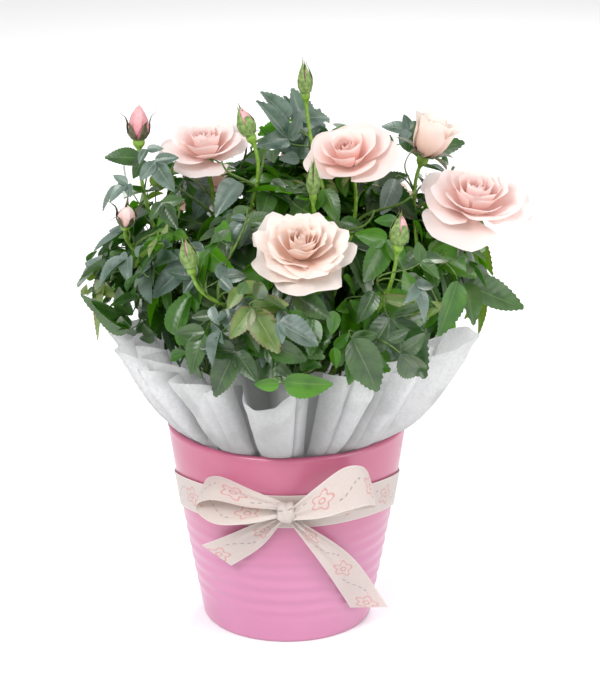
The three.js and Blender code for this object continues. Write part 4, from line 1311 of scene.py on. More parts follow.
def shingle_leaf(target, own, draw, scale, feet, clearance, coarse=False):
    """A leaf that hangs like a shingle at a target, turned until it fits."""
    spread = FINE_SPREAD if coarse else 1
    hang = FINE_HANG if coarse else HANG
    face = outward_at(target) + 0.6 * UP
    face[0] += spread * FACE_SCATTER * (draw() - 0.5)
    face[1] += spread * FACE_SCATTER * (draw() - 0.5)
    face = unit(face)
    droop = unit(np.array([target[0], target[1], 0])) * hang[0] - hang[1] * UP
    droop = unit(droop - droop.dot(face) * face)
    length = LEAFLET_LENGTH * scale * lerp(*SIZE_SCATTER, draw())
    first_turn = (draw() - 0.5) * TURN_SCATTER * spread
    for turn in LEAF_TURNS:
        way = turned(droop, face, first_turn + turn)
        root = target - 0.6 * length * way
        leaf = SimpleNamespace(face=face, way=way, length=length, root=root, needs=1, look=None)
        if grow_leaf(leaf, own, feet, clearance, coarse):
            return True
    return False


def cover(shells, draw, feet, clearance, coarse=False):
    for tries, scale, size, spacing, start in shells:
        middles = np.array([leaf_hub(leaf) for p in plans for leaf in p.leaves])
        for target in shell_points(tries, scale, start):
            if ((middles - target) ** 2).sum(1).min() < spacing**2:
                continue
            own = nearest_plan(target)
            if shingle_leaf(target, own, draw, size, feet[own.name], clearance, coarse):
                middles = np.concatenate([middles, [leaf_hub(own.leaves[-1])]])


cover(SHELLS, seeded(2024), stem_feet, LEAF_CLEARANCE)
print("leaves that the solids have too:", sum(len(p.leaves) for p in plans))

# %% Pruning
SPILL = 2  # how many of a leaf's ten outline points may be outside


def is_kept(leaf):
    """Leaves that stand out of the outline or hang before a flower are cut, but no placed one."""
    if leaf.look is not None:
        return True
    spilt = (~inside_outline(outline_points(leaf))).sum()
    blade = leaf_samples(leaf, 0, 10, np.array([0.35, 0.7, 1]), np.array([0, 0.5]))
    return spilt <= SPILL and not hides_a_flower(blade) and not hides_a_placed_leaf(blade)


for p in plans:
    p.leaves = [leaf for leaf in p.leaves if is_kept(leaf)]
    p.taken = np.zeros((0, 3))
    for leaf in p.leaves:
        cloud = coarse_cloud(leaf)
        p.taken = np.concatenate([p.taken, on(leaf.stalk, STALK_SPOTS), cloud])
print("left after pruning:", sum(len(p.leaves) for p in plans))
refused = [row for row in refused + CLOSE_LEAVES if not placed_leaf(*row, CLOSE)]
print("placed leaves that found no room:", len(refused))

# %% [markdown]
# ## Finer twigs
#
# The solids stop at about a hundred leaves, since a solid leaf costs a lot. Here each mass first
# branches into more twigs, and then smaller leaves fill the room between, inside the same
# envelope. They may come closer together than the solid ones.

# %% Twigs
TWIG_TRIES = 150
TWIG_SPACING = 30
FINE_CLEARANCE = 1.5

twig_ends = []
for target in shell_points(TWIG_TRIES, 0.74, 0.9):
    if any(np.linalg.norm(target - end) < TWIG_SPACING for end in twig_ends):
        continue
    own = nearest_plan(target)
    places, ways = feet_of(own.stems, np.linspace(0.08, 0.7, 12))
    best = best_foot(target, places, 2, 0.6)
    foot_way = unit(ways[best] + unit(target - places[best]))
    curve = bend(places[best], foot_way, target, unit(outward_at(target) + UP))
    samples = on(curve, np.arange(2, 13) / 12)
    free = in_own_space(samples, own) and not near_flower(samples)
    if free and not stalk_crosses_collar(samples) and not near_limb(samples, own, LIMB_CLEARANCE):
        own.twigs.append(curve)
        twig_ends.append(target)
print("twigs:", len(twig_ends))

# %% Finer leaves
FINE_SHELLS = [
    (900, 0.9, 0.95, 16, 3.3), (1700, 0.93, 0.6, 11, 0.2), (1500, 0.85, 0.75, 12, 1.1),
    (1200, 0.76, 0.8, 13, 2.7), (800, 0.65, 0.85, 14.5, 0.7), (300, 0.5, 0.9, 20, 1.9),
]
fine_feet = {p.name: feet_of(p.stems + p.twigs, np.linspace(0.1, 0.98, 18)) for p in plans}
fine_draw = seeded(77)
cover(FINE_SHELLS, fine_draw, fine_feet, FINE_CLEARANCE, coarse=True)

# Leaves close in before the roses on the far side, so that none looks through the crown.
SCREEN_TRIES = 110
SCREEN_REACH = np.array([34, 26, 30])
SCREEN_PLACES = [
    (62, 40, 270), (80, 46, 262), (-50, 62, 282), (0, 74, 286), (-14, 12, 272), (-10, -22, 258)
]
for place in SCREEN_PLACES:
    for _ in range(SCREEN_TRIES):
        ray = np.array([fine_draw() - 0.5, fine_draw() - 0.5, fine_draw() - 0.5]) * 2
        target = np.array(place) + ray * SCREEN_REACH
        own = nearest_plan(target)
        shingle_leaf(target, own, fine_draw, 0.7, fine_feet[own.name], CLOSE, coarse=True)
print("leaves in all:", sum(len(p.leaves) for p in plans))

# %% [markdown]
# ## The leaflet
#
# One rose leaflet: egg-shaped, pointed, and sawn along its edge. We start from a small grid, cut
# its two long edges finer without cutting the faces, and pull every second edge point out and
# forward as a tooth. That keeps the leaflet to two dozen faces. Each copy then gets its own fold,
# droop and waves.

# %% Leaflet template
CELLS = 6
TEETH_CUTS = 3
LEAFLET_HALF = 0.72


def half_width(u):
    return LEAFLET_HALF * u**0.55 * (1 - u) ** 0.92


bm = grid(CELLS, 4)
rims = [edge for edge in bm.edges if all(abs(vert.co.y) > 0.99 for vert in edge.verts)]
bmesh.ops.subdivide_edges(bm, edges=rims, cuts=TEETH_CUTS)
for vert in bm.verts:
    u, v = (vert.co.x + 1) / 2, vert.co.y
    tooth = round(u * CELLS * (TEETH_CUTS + 1)) % 2 if abs(v) > 0.99 else 0
    width = half_width(u) * abs(v) + tooth * 0.026 * (1 - 0.5 * u)
    vert.co = (u + tooth * 0.02, math.copysign(width, v), 0)
bmesh.ops.remove_doubles(bm, verts=bm.verts, dist=1e-4)
leaflet = template_of(bm)
print("leaflet faces:", len(leaflet.starts))

# %% Shorter stalks
# A placed leaf whose stalk comes from afar gets one from the nearest stem of any cane instead.
FAR_STALK = 30
all_places, all_ways = feet_of([stem for p in plans for stem in p.stems + p.twigs], STEM_SHARES)
for leaf in [leaf for p in plans for leaf in p.leaves if leaf.look is not None]:
    end = leaf.stalk[3]
    above_end = np.maximum(0, all_places[:, 2] - end[2] + 4)
    gaps = np.linalg.norm(all_places - end, axis=1) + 0.8 * above_end
    best = int(gaps.argmin())
    if np.linalg.norm(leaf.stalk[0] - end) > max(FAR_STALK, 1.3 * gaps[best]):
        foot_way = unit(unit(end - all_places[best]) + all_ways[best])
        end_way = unit(leaf.way + 0.4 * leaf.face)
        leaf.stalk = bend(all_places[best], foot_way, end, end_way, 0.35)

# %% Leaf finishes
# Four looks: old dark leaves, their deep green partly their own and partly painted shade; blue-grey
# ones, their grey a painted sheen; bright ones, painted as if lit from behind; and young ones.


def leaf_finish(name, deep, light, vein, gloss, through, share, coat=0.3, rim=None):
    graph = Graph(name)
    ahead, beside = graph.uv()
    off = abs(beside - 0.5) * 2
    pillow = abs((ahead * 8 - off * 1.5).fraction() - 0.5)
    side_vein = (1 - graph.between(pillow, 0.0, 0.1)) * (1 - graph.between(off, 0.75, 0.98))
    midrib = 1 - graph.between(off, 0.025, 0.075)
    # A broad mottle, which is also the leaf's relief, and a lightening towards the edges paint the
    # leaf's uneven sheen; the tint is each leaflet's own tone.
    relief_and_sheen = graph.noise(110, 3)
    shade = graph.between(relief_and_sheen + graph.value("tint") * 0.5 + off * 0.12, 0.5, 1.0)
    green = graph.mix(shade, deep, light)
    colour = graph.layers(green, (side_vein * 0.16, vein), (midrib * 0.6, vein))
    if rim is not None:
        colour = graph.mix(graph.between(off, 0.7, 1.0) * 0.7, colour, rim)
    surface = {
        "Base Color": colour,
        "Roughness": gloss,
        "Specular IOR Level": 0.7,
        "Coat Weight": coat,
        "Coat Roughness": 0.24,
        "Normal": graph.bump(pillow * 0.4 - midrib * 0.8 + relief_and_sheen * 1.2, 0.32, 0.001),
    }
    return graph.finish(surface, through=through, share=share)


# Each has its deep, light and vein colours, its gloss, and the light that it lets through.
leaf_looks = {
    "d": leaf_finish(
        "dark_green_shaded_leaf", (0.008, 0.032, 0.005), (0.045, 0.105, 0.022), (0.12, 0.20, 0.06),
        0.33, (0.05, 0.26, 0.0), 0.18),
    "g": leaf_finish(
        "painted_sheen_grey_leaf", (0.026, 0.060, 0.038), (0.135, 0.19, 0.165), (0.23, 0.30, 0.23),
        0.36, (0.08, 0.26, 0.02), 0.14),
    "b": leaf_finish(
        "painted_backlit_green_leaf", (0.015, 0.08, 0.002), (0.058, 0.185, 0.006), (0.16, 0.31, 0.05),
        0.36, (0.13, 0.48, 0.0), 0.34),
    "y": leaf_finish(
        "young_leaf", (0.07, 0.14, 0.02), (0.18, 0.26, 0.07), (0.30, 0.37, 0.13),
        0.4, (0.22, 0.42, 0.02), 0.24, 0.15, rim=(0.16, 0.075, 0.04)),
}
LOOKS = list(leaf_looks)

# %% Leaflets of each leaf
SIDE_LEAFLET_AT = 0.30
SIDE_WAY = np.array([0.28, 0.645])
SIDE_LENGTH = 0.74
BASAL_AT = -0.16
BASAL_LENGTH = 0.5
HIGH = 290  # leaves on the crown's top turn their faces to the front
FRONT_PULL = 1.6
LOW_PAIR = 220  # placed bright leaves below this carry one leaflet
BASAL_LEAF = 21  # only leaves longer than this carry a third pair
chance = np.random.RandomState(11)

# The share of dark, grey, bright and young leaves in the heart of the crown and on its outer parts.
# Dealt out by place, they paint the light: more backlit bright ones in the heart and low on the
# right, more grey sheen outside, and more dark shaded ones low down.
HEART = 0.74
RIGHT_SIDE, BELOW_TOP, LOW_DOWN = 20, 270, 225
INNER_ODDS = [0.38, 0.04, 0.54, 0.04]
LOW_RIGHT_ODDS = [0.34, 0.06, 0.52, 0.08]
LOW_ODDS = [0.52, 0.16, 0.25, 0.07]
OUTER_ODDS = [0.45, 0.36, 0.12, 0.07]


def look_by_place(leaf):
    hub = leaf_hub(leaf)
    if crown_share(hub) < HEART:
        odds = INNER_ODDS
    elif hub[0] > RIGHT_SIDE and hub[2] < BELOW_TOP:
        odds = LOW_RIGHT_ODDS
    else:
        odds = LOW_ODDS if hub[2] < LOW_DOWN else OUTER_ODDS
    return LOOKS[chance.choice(4, p=odds)]


def leaflets_of(leaf):
    """Rows of root, way and length in the leaf's own plane."""
    rows = [(TIP_LEAFLET_AT - 0.02, (1, 0), 1.02)]
    for size, sign in zip(leaf.sides, (1, -1)):
        if size < NO_LEAFLET:
            continue
        root = lerp(TIP_LEAFLET_AT, SIDE_LEAFLET_AT, size)
        rows.append((root, (SIDE_WAY[0], SIDE_WAY[1] * sign), SIDE_LENGTH * size))
        if size == 1 and leaf.length > BASAL_LEAF and chance.rand() < 0.8:
            rows.append((BASAL_AT, (0.34, 0.6 * sign), BASAL_LENGTH))
    return rows


def leaflet_frame(leaf, u, way):
    """Root, way, side and face of a leaflet, tilted a little out of the leaf's plane."""
    ahead, beside = np.array(way) / math.hypot(*way)
    root = blade_point(leaf, u * leaf.length, 0, -LEAF_DROOP * u * abs(u) * leaf.length)
    sunk = leaf.face * (2 * LEAF_DROOP * max(0, u) * ahead)
    way = unit(leaf.way * ahead + leaf.side * beside - sunk)
    way = unit(way + leaf.face * (LEAF_FOLD * abs(beside)))
    face = unit(leaf.face - leaf.face.dot(way) * way)
    tilt = chance.normal(0, 0.2)
    face = unit(face * math.cos(tilt) + np.cross(face, way) * math.sin(tilt))
    return root, way, np.cross(face, way), face


def grow_leaflets(p):
    frames, lengths, bends, tints, looks = [], [], [], [], []
    for leaf in p.leaves:
        tint = chance.rand()
        placed = leaf.look is not None
        if placed and leaf.root[2] > HIGH:
            face = leaf.face + FRONT_PULL * np.array([0, -1, 0.2])
            leaf.face = unit(face - face.dot(leaf.way) * leaf.way)
            leaf.side = np.cross(leaf.way, leaf.face)
        look = leaf.look if placed else look_by_place(leaf)
        if placed and look == "b" and leaf.root[2] < LOW_PAIR:
            leaf.sides = [0.12, 0.12]
        for u, way, size in leaflets_of(leaf):
            frames.append(leaflet_frame(leaf, u, way))
            lengths.append(size * leaf.length)
            fold, droop = chance.uniform(0.2, 0.7), chance.normal(0.15, 0.12)
            bends.append((fold, droop, chance.uniform(0, 6.3)))
            tints.append(0.5 * tint + 0.5 * chance.rand())
            looks.append(LOOKS.index(look))
    frames, lengths = np.array(frames), np.array(lengths)[:, None]
    fold, droop, phase = np.array(bends).T[:, :, None]
    x, y = leaflet.points[:, 0] * lengths, leaflet.points[:, 1] * lengths
    rim = np.abs(y) / lengths / LEAFLET_HALF
    waves = 0.035 * lengths * np.sin(7 * x / lengths + phase) * rim
    over = fold * np.abs(y) - droop * x * x / lengths + waves
    root, way, side, face = (frames[:, i][:, None] for i in range(4))
    points = root + way * x[..., None] + side * y[..., None] + face * over[..., None]
    materials, nodes = list(leaf_looks.values()), ["foliage_" + p.name]
    copies("leaves_" + p.name, leaflet, points, materials, nodes, looks, {"tint": tints})


for p in plans:
    grow_leaflets(p)

# %% [markdown]
# ## Stems, stalks and hips
#
# Everything round and long is one template: a small grid rolled into a tube. Each copy follows
# its own curve with its own radii, so canes, side shoots, leaf stalks and the swollen hips under
# the flowers all come from the same few lines.

# %% Tubes along curves


def tubes(name, curves, radii, sides, steps, material, nodes=(), lumps=0):
    """Tubes along Bezier curves. Each has a row of radii, spread evenly along it."""
    template = template_of(grid(steps, sides))
    t, angle = (template.points[:, 0] + 1) / 2, template.points[:, 1] * math.pi
    corners = np.asarray(curves).transpose(1, 0, 2)[:, :, None]
    middle, tangent = on(corners, t), unit(heading(corners, t) + 1e-9)
    chord = unit(corners[3] - corners[0] + 1e-9)
    reference = np.where(np.abs(chord[..., 2:]) < 0.8, UP, np.array([1.0, 0, 0]))
    beside = unit(np.cross(tangent, reference))
    over = np.cross(tangent, beside)
    spread = np.array([np.interp(t, np.linspace(0, 1, len(row)), row) for row in radii])
    phase = np.arange(len(curves))[:, None]
    spread = spread * (1 + lumps * np.sin(54 * t + phase + 2 * angle))
    ring = beside * np.cos(angle)[:, None] + over * np.sin(angle)[:, None]
    return copies(name, template, middle + ring * spread[..., None], [material], nodes)


# %% Stem finishes
stem_green = grained_finish(
    "green_stem", 320, 5, (0.35, 0.7), (0.13, 0.25, 0.02), (0.22, 0.38, 0.045), 0.45,
    (0.35, 0.0006),
)
stalk_green = grained_finish(
    "leaf_stalk", 320, 5, (0.35, 0.7), (0.05, 0.105, 0.015), (0.12, 0.2, 0.035), 0.5,
    (0.35, 0.0006),
)


def green_higher_up(graph, brown):
    """The canes are older and browner at their feet."""
    _, _, height = graph.axes(graph.place())
    return graph.mix(graph.between(height, 0.135, 0.185), brown, (0.12, 0.2, 0.035))


bark_brown = grained_finish(
    "old_bark", 420, 8, (0.35, 0.65), (0.045, 0.028, 0.014), (0.16, 0.11, 0.055), 0.75,
    (0.7, 0.0012), green_higher_up,
)

# %% Canes and rootstock
CANE_RADII = [CANE_FOOT_RADIUS, 2.15, 2.0, CANE_TIP_RADIUS]
KNOB_HEIGHT = 1.3
canes, cane_nodes = [p.cane for p in plans], ["cane_" + p.name for p in plans]
radii = [CANE_RADII] * len(plans)
tubes("canes_bark", canes, radii, 12, 24, bark_brown, cane_nodes, lumps=0.04)

foot = COMPOST_TOP + GAP - 2
# The rootstock's radius, more or less, at heights above its foot.
swells = [(1, 0), (-2, 4), (-4, 8), (-3, 13), (0, 18), (-1, 22), (-4, ROOTSTOCK_HEIGHT - 1)]
outline = [(0, foot)] + [(ROOTSTOCK_RADIUS + swell, foot + up) for swell, up in swells]
outline.append((0, foot + ROOTSTOCK_HEIGHT + 1))
bm = turned_profile(outline, 48, cuts=3)
for vert in bm.verts:
    vert.co += vert.normal * noise.fractal(vert.co * 0.16, 1.0, 2.0, 4) * KNOB_HEIGHT
whole("rootstock_bark", bm, [bark_brown], ["rootstock"])

# %% Stems, twigs and leaf stalks
stem_curves = [stem for p in plans for stem in p.stems]
stem_radii = [
    [SIDE_SHOOT_RADIUS if i else CANE_TIP_RADIUS, 1.35, FLOWER_STALK_RADIUS]
    for p in plans
    for i, _ in enumerate(p.stems)
]
tubes("flower_stems", stem_curves, stem_radii, 10, 20, stem_green, lumps=0.03)
twigs = [twig for p in plans for twig in p.twigs]
tubes("twigs", twigs, [[1.15, 0.9, 0.6]] * len(twigs), 8, 12, stalk_green, lumps=0.05)
leaves = [leaf for p in plans for leaf in p.leaves]
stalk_radii = [
    np.array([0.85, 0.6, 0.42]) * (0.5 + 0.5 * leaf.length / LEAFLET_LENGTH) for leaf in leaves
]
tubes("leaf_stalks", [leaf.stalk for leaf in leaves], stalk_radii, 5, 8, stalk_green)

# %% Prickles
# A prickle is a short broad-footed hook, so a short tapering tube serves.
PRICKLE_RADII = [1.1, 0.45, 0.02]
PRICKLE_REACH = 3.6
prickles = []
for curve in stem_curves + canes:
    for k in range(5):
        t = 0.1 + 0.16 * k + 0.05 * chance.rand()
        here, way = on(curve, t), heading(curve, t)
        turn = chance.uniform(0, 2 * math.pi)
        out = unit(np.cross(way, [math.cos(turn), math.sin(turn), 0.3]))
        point = here + out * PRICKLE_REACH - way * 0.9
        prickles.append(bend(here + out, out, point, unit(out - way * 0.8)))
tubes("prickles", prickles, [PRICKLE_RADII] * len(prickles), 6, 4, stem_green)

# %% [markdown]
# ## Petals
#
# A patio rose has two to three dozen petals on a spiral, each turned from the last by the golden
# angle. The inner ones stand up and wrap round each other, and the outer ones lie open and roll
# back at the rim. One grid of faces is the template. For each petal we walk from its foot to its
# rim while its slope turns outwards, which gives a profile, and sweep that profile across the
# petal's width.

# %% Petal finish


def petal_finish(name, rim, middle, heart, through):
    graph = Graph(name)
    reach_out, _ = graph.uv()
    depth = graph.value("depth")
    silk = graph.noise(500, 3)
    patch = (graph.noise(60, 2) - 0.5) * 0.3
    flush = graph.between(depth * 0.55 + (1 - reach_out) * 0.62 + patch, 0.1, 0.62)
    edge = graph.between(reach_out - depth * 0.2 + patch, 0.45, 0.95)
    surface = {
        "Base Color": graph.layers(middle, (flush, heart), (edge, rim)),
        "Roughness": 0.55,
        "Sheen Weight": 0.2,
        "Normal": graph.bump(silk, 0.1, 0.0006),
    }
    return graph.finish(surface, through=through, share=0.36)


# Each has the colours of its rim, middle and heart, and of the light that it lets through.
petal_finishes = {
    "blush": petal_finish(
        "blush_petal", (0.90, 0.775, 0.75), (0.91, 0.71, 0.675), (0.89, 0.52, 0.46),
        (0.97, 0.77, 0.71)),
    "pale": petal_finish(
        "pale_petal", (0.91, 0.81, 0.80), (0.92, 0.76, 0.735), (0.90, 0.60, 0.555),
        (0.97, 0.80, 0.75)),
    "cream": petal_finish(
        "cream_petal", (0.90, 0.815, 0.78), (0.905, 0.765, 0.71), (0.885, 0.62, 0.50),
        (0.97, 0.81, 0.71)),
}
bud_graph = Graph("pink_bud_petal")
reach_out, _ = bud_graph.uv()
bud_silk = bud_graph.noise(420, 3)
bud_colour = bud_graph.layers(
    (0.62, 0.24, 0.27),
    (bud_graph.between(reach_out, 0.1, 0.9), (0.80, 0.47, 0.48)),
    (bud_graph.between(bud_silk, 0.4, 0.65) * 0.3, (0.55, 0.16, 0.2)),
)
bud_bump = bud_graph.bump(bud_silk, 0.1, 0.0006)
bud_pink = bud_graph.finish(
    {"Base Color": bud_colour, "Roughness": 0.55, "Normal": bud_bump},
    through=(0.85, 0.4, 0.4),
    share=0.2,
)

# %% Petal template and the walk along a petal
PETAL_COLUMNS, PETAL_ROWS = 14, 6
petal_template = template_of(grid(PETAL_ROWS, PETAL_COLUMNS))
PETAL_T = (petal_template.points[:, 0] + 1) / 2
PETAL_S = petal_template.points[:, 1]
WALK = np.linspace(0, 1, 41)


def walked(slopes, length, radius):
    """Radius and height at WALK's steps, for a petal whose slope from the axis is given there."""
    step = length / (len(WALK) - 1)
    middle = (slopes[1:] + slopes[:-1]) / 2
    out = radius + np.concatenate([[0], np.cumsum(np.sin(middle) * step)])
    high = np.concatenate([[0], np.cumsum(np.cos(middle) * step)])
    return out, high


def to_flower(flower, points):
    """Carries points made about +Z to the flower's seat and axis."""
    cross = np.cross(UP, flower.axis)
    cos = float(UP.dot(flower.axis))
    k = np.array([[0, -cross[2], cross[1]], [cross[2], 0, -cross[0]], [-cross[1], cross[0], 0]])
    turn = np.eye(3) + k + k @ k / (1 + cos)
    return points @ turn.T + flower.seat


PETAL_FOOT = 0.65  # a petal's width at its foot, as a share of its full width


def petal(out, high, azimuth, half_angle, lean, ruffle, phase, rounding, twist=0.0, frill=0.0):
    """One petal from its profile, swept across its width."""
    notches = np.sin(5 * PETAL_S + phase) + 0.5 * np.sin(9 * PETAL_S - 2 * phase)
    notches = frill * PETAL_T**3 * notches
    t = PETAL_T * (1 - rounding * np.abs(PETAL_S) ** 3 - 0.5 * frill + notches)
    radius, height = np.interp(t, WALK, out), np.interp(t, WALK, high)
    width = lerp(PETAL_FOOT, 1, np.sin(np.pi / 2 * np.minimum(1, PETAL_T / 0.7)))
    wave = ruffle * PETAL_T**3 * np.sin(2.6 * np.pi * PETAL_S + phase)
    angle = azimuth + PETAL_S * half_angle * width + twist * PETAL_T
    radius = radius + lean * PETAL_S * (0.4 + 0.6 * PETAL_T) + 0.5 * wave
    return np.stack([radius * np.cos(angle), radius * np.sin(angle), height + wave], 1)


def show_petals(flower, node, petals, depths, finish):
    """Joins a flower's petals. Their depths run from 1 at its heart to 0 at its rim."""
    points = to_flower(flower, np.array(petals))
    copies(
        "petals_" + flower.name, petal_template, points, [finish], [node + flower.name],
        0, {"depth": depths},
    )


# %% Open roses
# How a petal's slope from the axis runs from its foot to its rim, from the heart outwards.
SLOPE_PLACES = [0, 0.35, 0.7, 1]
SLOPE_PETALS = [0, 0.33, 0.6, 0.85, 1]
SLOPES = np.array([
    [25, 3, -12, -22], [52, 14, -6, 4], [68, 34, 20, 52], [80, 62, 64, 100], [88, 76, 80, 116],
])
LENGTHS = [16, 20, 25, 31, 35]
HALF_ANGLES = [112, 94, 70, 56, 52]

BLOOM_SPREAD = {"front": 0.96, "right": 1.1, "upper_left": 1.08}
BLOOM_SEEDS = {
    "front": 21, "right": 5, "top": 6, "upper_left": 7, "back_right": 8, "back_left": 9
}
# Petals, how open, how ruffled, azimuth of the first petal, crowding to the rim, and finish.
BLOOM_LOOKS = {
    "front": (29, 1.03, 2.6, 0.4, 0.72, "cream"), "right": (24, 1.06, 1.3, 2.0, 0.75, "pale"),
    "top": (17, 0.94, 0.7, 1.1, 0.85, "blush"), "upper_left": (21, 1.0, 1.0, 3.0, 0.8, "pale"),
    "back_right": (22, 1.02, 1.2, 5.0, 0.8, "cream"),
    "back_left": (19, 0.96, 0.9, 4.1, 0.85, "blush"),
}


def slopes_at(q):
    """The slopes along WALK of a petal that lies at q from heart to rim."""
    rows = [np.interp(t, SLOPE_PLACES, row) for t in WALK for row in SLOPES]
    rows = np.array(rows).reshape(len(WALK), -1)
    return np.array([np.interp(q, SLOPE_PETALS, row) for row in rows])


def bloom(flower):
    count, opening, ruffle, start, crowding, finish = BLOOM_LOOKS[flower.name]
    chance = np.random.RandomState(BLOOM_SEEDS[flower.name])
    size = flower.across / 68 * BLOOM_SPREAD.get(flower.name, 1)
    petals, depths = [], []
    for i in range(count):
        q = (i / (count - 1)) ** crowding
        azimuth = start + i * GOLDEN_ANGLE + chance.normal(0, 0.06 + 0.09 * ruffle)
        length = size * np.interp(q, SLOPE_PETALS, LENGTHS) * chance.uniform(0.92, 1.06)
        tilt = chance.normal(0, 2 + 1.2 * ruffle)
        slopes = np.radians(slopes_at(q) * lerp(1, opening, q) * chance.uniform(0.93, 1.05) + tilt)
        out, high = walked(slopes, length, size * lerp(0.8, 3.0, q))
        half_angle = math.radians(np.interp(q, SLOPE_PETALS, HALF_ANGLES))
        half_angle *= chance.uniform(0.9, 1.1)
        lift = size * lerp(6.0, 0.6, q**0.7)
        lean, wave = size * lerp(0.5, 1.7, q), size * ruffle * lerp(0.3, 1.3, q)
        petals.append(petal(
            out, high + lift, azimuth, half_angle, lean, wave, chance.uniform(0, 6.3),
            lerp(0.1, 0.26, q), frill=0.025 * ruffle * q,
        ))
        depths.append(1 - q)
    show_petals(flower, "bloom_", petals, depths, petal_finishes[finish])


# %% Buds
# A bud's petals are wrapped tightly: the profile is the solid's own, and each twists over the last.
BUD_PROFILE = [(0.66, 0), (0.96, 0.22), (1, 0.42), (0.76, 0.68), (0.38, 0.9), (0.05, 1.0)]
BUD_PETALS = 6


def profile_walk(rows, radius, height):
    at = np.linspace(0, 1, len(rows))
    out, high = np.array(rows, float).T
    return np.interp(WALK, at, out) * radius, np.interp(WALK, at, high) * height


def pink_bud(flower):
    petals, depths = [], []
    is_round = flower.name == "low_left"
    tall, finish = (1.25, petal_finishes["pale"]) if is_round else (1.55, bud_pink)
    for i in range(BUD_PETALS):
        q = i / (BUD_PETALS - 1)
        wide, high = flower.across / 2 * lerp(0.84, 1, q), flower.across * tall * lerp(0.86, 1, q)
        walk = profile_walk(BUD_PROFILE, wide, high)
        half_angle = math.radians(84)
        petals.append(petal(*walk, i * GOLDEN_ANGLE, half_angle, 0.7, 0.35, i, 0.16, twist=0.7))
        depths.append(0.55 - 0.3 * q)
    show_petals(flower, "bud_", petals, depths, finish)


# A rose that has just loosened: upright petals whose rims begin to lean out.
OPENING_SLOPES = np.array([[20, 4, -10, -14], [72, 24, 4, 52]])
OPENING_SIZE = 1.14
OPENING_PETALS = 12


def half_open(flower):
    petals, depths = [], []
    for i in range(OPENING_PETALS):
        q = i / (OPENING_PETALS - 1)
        row = lerp(*OPENING_SLOPES, q) + chance.normal(0, 4)
        slopes = np.radians(np.interp(WALK, SLOPE_PLACES, row))
        length = OPENING_SIZE * lerp(22, 28, q) * chance.uniform(0.9, 1.05)
        walk = walked(slopes, length, lerp(0.8, 2.6, q))
        azimuth, half_angle = 1.0 + i * GOLDEN_ANGLE, math.radians(lerp(100, 64, q))
        phase = chance.uniform(0, 6.3)
        petals.append(petal(*walk, azimuth, half_angle, 1.5, 1.0, phase, 0.3, twist=0.3))
        depths.append(lerp(0.7, 0.1, q))
    show_petals(flower, "half_open_", petals, depths, petal_finishes["cream"])


for kinds in ({"bloom": bloom}, {"pink_bud": pink_bud, "half_open": half_open}):
    for flower in flowers:
        if flower.kind in kinds:
            kinds[flower.kind](flower)

# %% [markdown]
# ## Sepals and hips
#
# Under each flower sits a green hip, and five narrow sepals spread from it. Round a closed bud
# they are broad at the foot and meet over the petals, with their long tips free. The petal walk
# makes them too, with a green finish and a width that runs to a point.

# %% Sepals


def brown_tip(graph, green):
    reach_out, _ = graph.uv()
    return graph.mix(graph.between(reach_out, 0.6, 1.0) * 0.55, green, (0.13, 0.06, 0.035))


sepal_green = grained_finish(
    "green_sepal", 380, 4, (0.35, 0.65), (0.09, 0.16, 0.035), (0.21, 0.31, 0.085), 0.55,
    (0.3, 0.0006), brown_tip,
)
sepal_brown = grained_finish(
    "brown_sepal", 380, 4, (0.35, 0.65), (0.035, 0.045, 0.016), (0.11, 0.10, 0.045), 0.6,
    (0.3, 0.0006),
)

SEPAL_SLOPES = {"bloom": (96, 125), "half_open": (34, 116)}
SEPAL_LENGTHS = {"bloom": 15, "half_open": 24, "pink_bud": 17, "bud": 22}
SEPAL_HALF_WIDTHS = {"bloom": 2.6, "half_open": 3.6}
# On closed buds sepals hug the petals. Rows are shares of the bud's radius and of their height,
# and then come half of the angle that each takes in and how fast it narrows.
SEPAL_SHAPES = {
    "pink_bud": (
        [(0.66, 0), (1.02, 0.24), (1.04, 0.48), (1.02, 0.7), (1.5, 0.88), (2.3, 1)], 34, 1.7),
    "bud": ([(0.7, 0), (0.98, 0.26), (0.9, 0.5), (0.42, 0.72), (0.22, 0.86), (0.4, 1)], 44, 0.8),
}


def sepals(flower):
    rows = []
    for i in range(5):
        azimuth = 2 * math.pi * (i + 0.25) / 5
        spread = chance.normal(0, 7)
        length = SEPAL_LENGTHS[flower.kind]
        if flower.kind in SEPAL_SHAPES:
            shape, half_angle, taper = SEPAL_SHAPES[flower.kind]
            shape = shape[:-1] + [(shape[-1][0] * chance.uniform(0.7, 1.4), 1)]
            tall = length * chance.uniform(0.85, 1.1)
            out, high = profile_walk(shape, flower.across / 2 * 1.08, tall)
            radius = np.interp(PETAL_T, WALK, out)
            wide = math.radians(half_angle) * np.clip(1 - PETAL_T, 0, 1) ** taper
        else:
            slopes = np.radians(lerp(*SEPAL_SLOPES[flower.kind], WALK) + spread)
            out, high = walked(slopes, length * chance.uniform(0.85, 1.15), 1.5)
            high = high - 1.5
            radius = np.interp(PETAL_T, WALK, out)
            narrow = np.sin(np.pi * np.clip(PETAL_T * 0.9 + 0.1, 0, 1)) ** 0.8
            wide = SEPAL_HALF_WIDTHS[flower.kind] * narrow / np.maximum(radius, 2.0)
        angle, height = azimuth + PETAL_S * wide, np.interp(PETAL_T, WALK, high)
        rows.append(np.stack([radius * np.cos(angle), radius * np.sin(angle), height], 1))
    return to_flower(flower, np.array(rows))


sepal_points = np.concatenate([sepals(flower) for flower in flowers])
sepal_picks = np.repeat([int(flower.kind in ("pink_bud", "half_open")) for flower in flowers], 5)
finishes = [sepal_green, sepal_brown]
copies("sepals", petal_template, sepal_points, finishes, picks=sepal_picks)

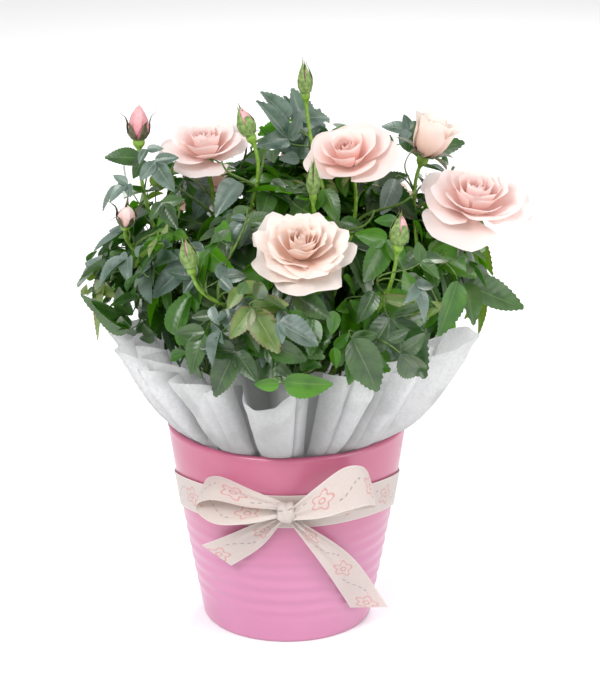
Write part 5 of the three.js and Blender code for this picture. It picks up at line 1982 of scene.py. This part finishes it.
# Three petals fill the slits between the sepals of each closed bud.
slits = []
for flower in flowers:
    if flower.kind == "bud":
        walk = profile_walk(BUD_PROFILE, flower.across / 2 * 0.9, flower.across * 1.45)
        for i in range(3):
            points = petal(*walk, i * GOLDEN_ANGLE, 1.4, 0.3, 0.2, i, 0.16, twist=0.5)
            slits.append(to_flower(flower, points))
copies("petals_closed_buds", petal_template, np.array(slits), [bud_pink])

# %% Hips
HIP_SWELL = [0.6, 0.86, 0.92, 0.9, 0.7]  # from the neck up, as shares of the hip's radius
hips, hip_radii = [], []
for flower in flowers:
    wide = 4.4 if flower.kind in ("bloom", "half_open") else flower.across / 2 * 0.62
    foot, top = flower.seat - HIP_HEIGHT * flower.axis, flower.seat + 0.6 * flower.axis
    hips.append(bend(foot, flower.axis, top, flower.axis))
    hip_radii.append([1.1, 1.4] + [wide * swell for swell in HIP_SWELL])
tubes("hips", hips, hip_radii, 12, 14, stem_green)

# %% [markdown]
# ## Floor and lamps
#
# The floor is a broad pale plane, not attached to the plant. A white world
# fills the shadows, and three soft lamps shape the glaze and the petals.

# %% Floor
floor_graph = Graph("pale_floor")
cloudy = floor_graph.noise(3, 2) * 0.06
floor_colour = floor_graph.mix(cloudy, (0.93, 0.93, 0.93), (0.9, 0.9, 0.91))
floor_white = floor_graph.finish({"Base Color": floor_colour, "Roughness": 0.6})
bm = bmesh.new()
bmesh.ops.create_grid(bm, x_segments=2, y_segments=2, size=20)
floor_mesh = bpy.data.meshes.new("floor")
bm.to_mesh(floor_mesh)
bm.free()
floor_mesh.materials.append(floor_white)
floor = bpy.data.objects.new("floor", floor_mesh)
bpy.context.scene.collection.objects.link(floor)

# %% Lamps
WORLD_STRENGTH = 0.72
world = bpy.data.worlds.new("studio")
world.use_nodes = True
world.node_tree.nodes["Background"].inputs["Color"].default_value = (1, 1, 1, 1)
world.node_tree.nodes["Background"].inputs["Strength"].default_value = WORLD_STRENGTH
bpy.context.scene.world = world


def lamp(name, place, size, watts):
    """A square soft lamp that looks at the plant."""
    data = bpy.data.lights.new(name, "AREA")
    data.size = size
    data.energy = watts
    made = bpy.data.objects.new(name, data)
    made.location = place
    aim = Vector((0, 0, 0.2)) - Vector(place)
    made.rotation_euler = aim.to_track_quat("-Z", "Y").to_euler()
    bpy.context.scene.collection.objects.link(made)


lamp("key", (-0.9, -1.4, 1.6), 1.0, 38)
lamp("fill", (1.6, -0.9, 1.0), 1.0, 16)
lamp("rim", (0.5, 1.6, 1.5), 1.0, 22)
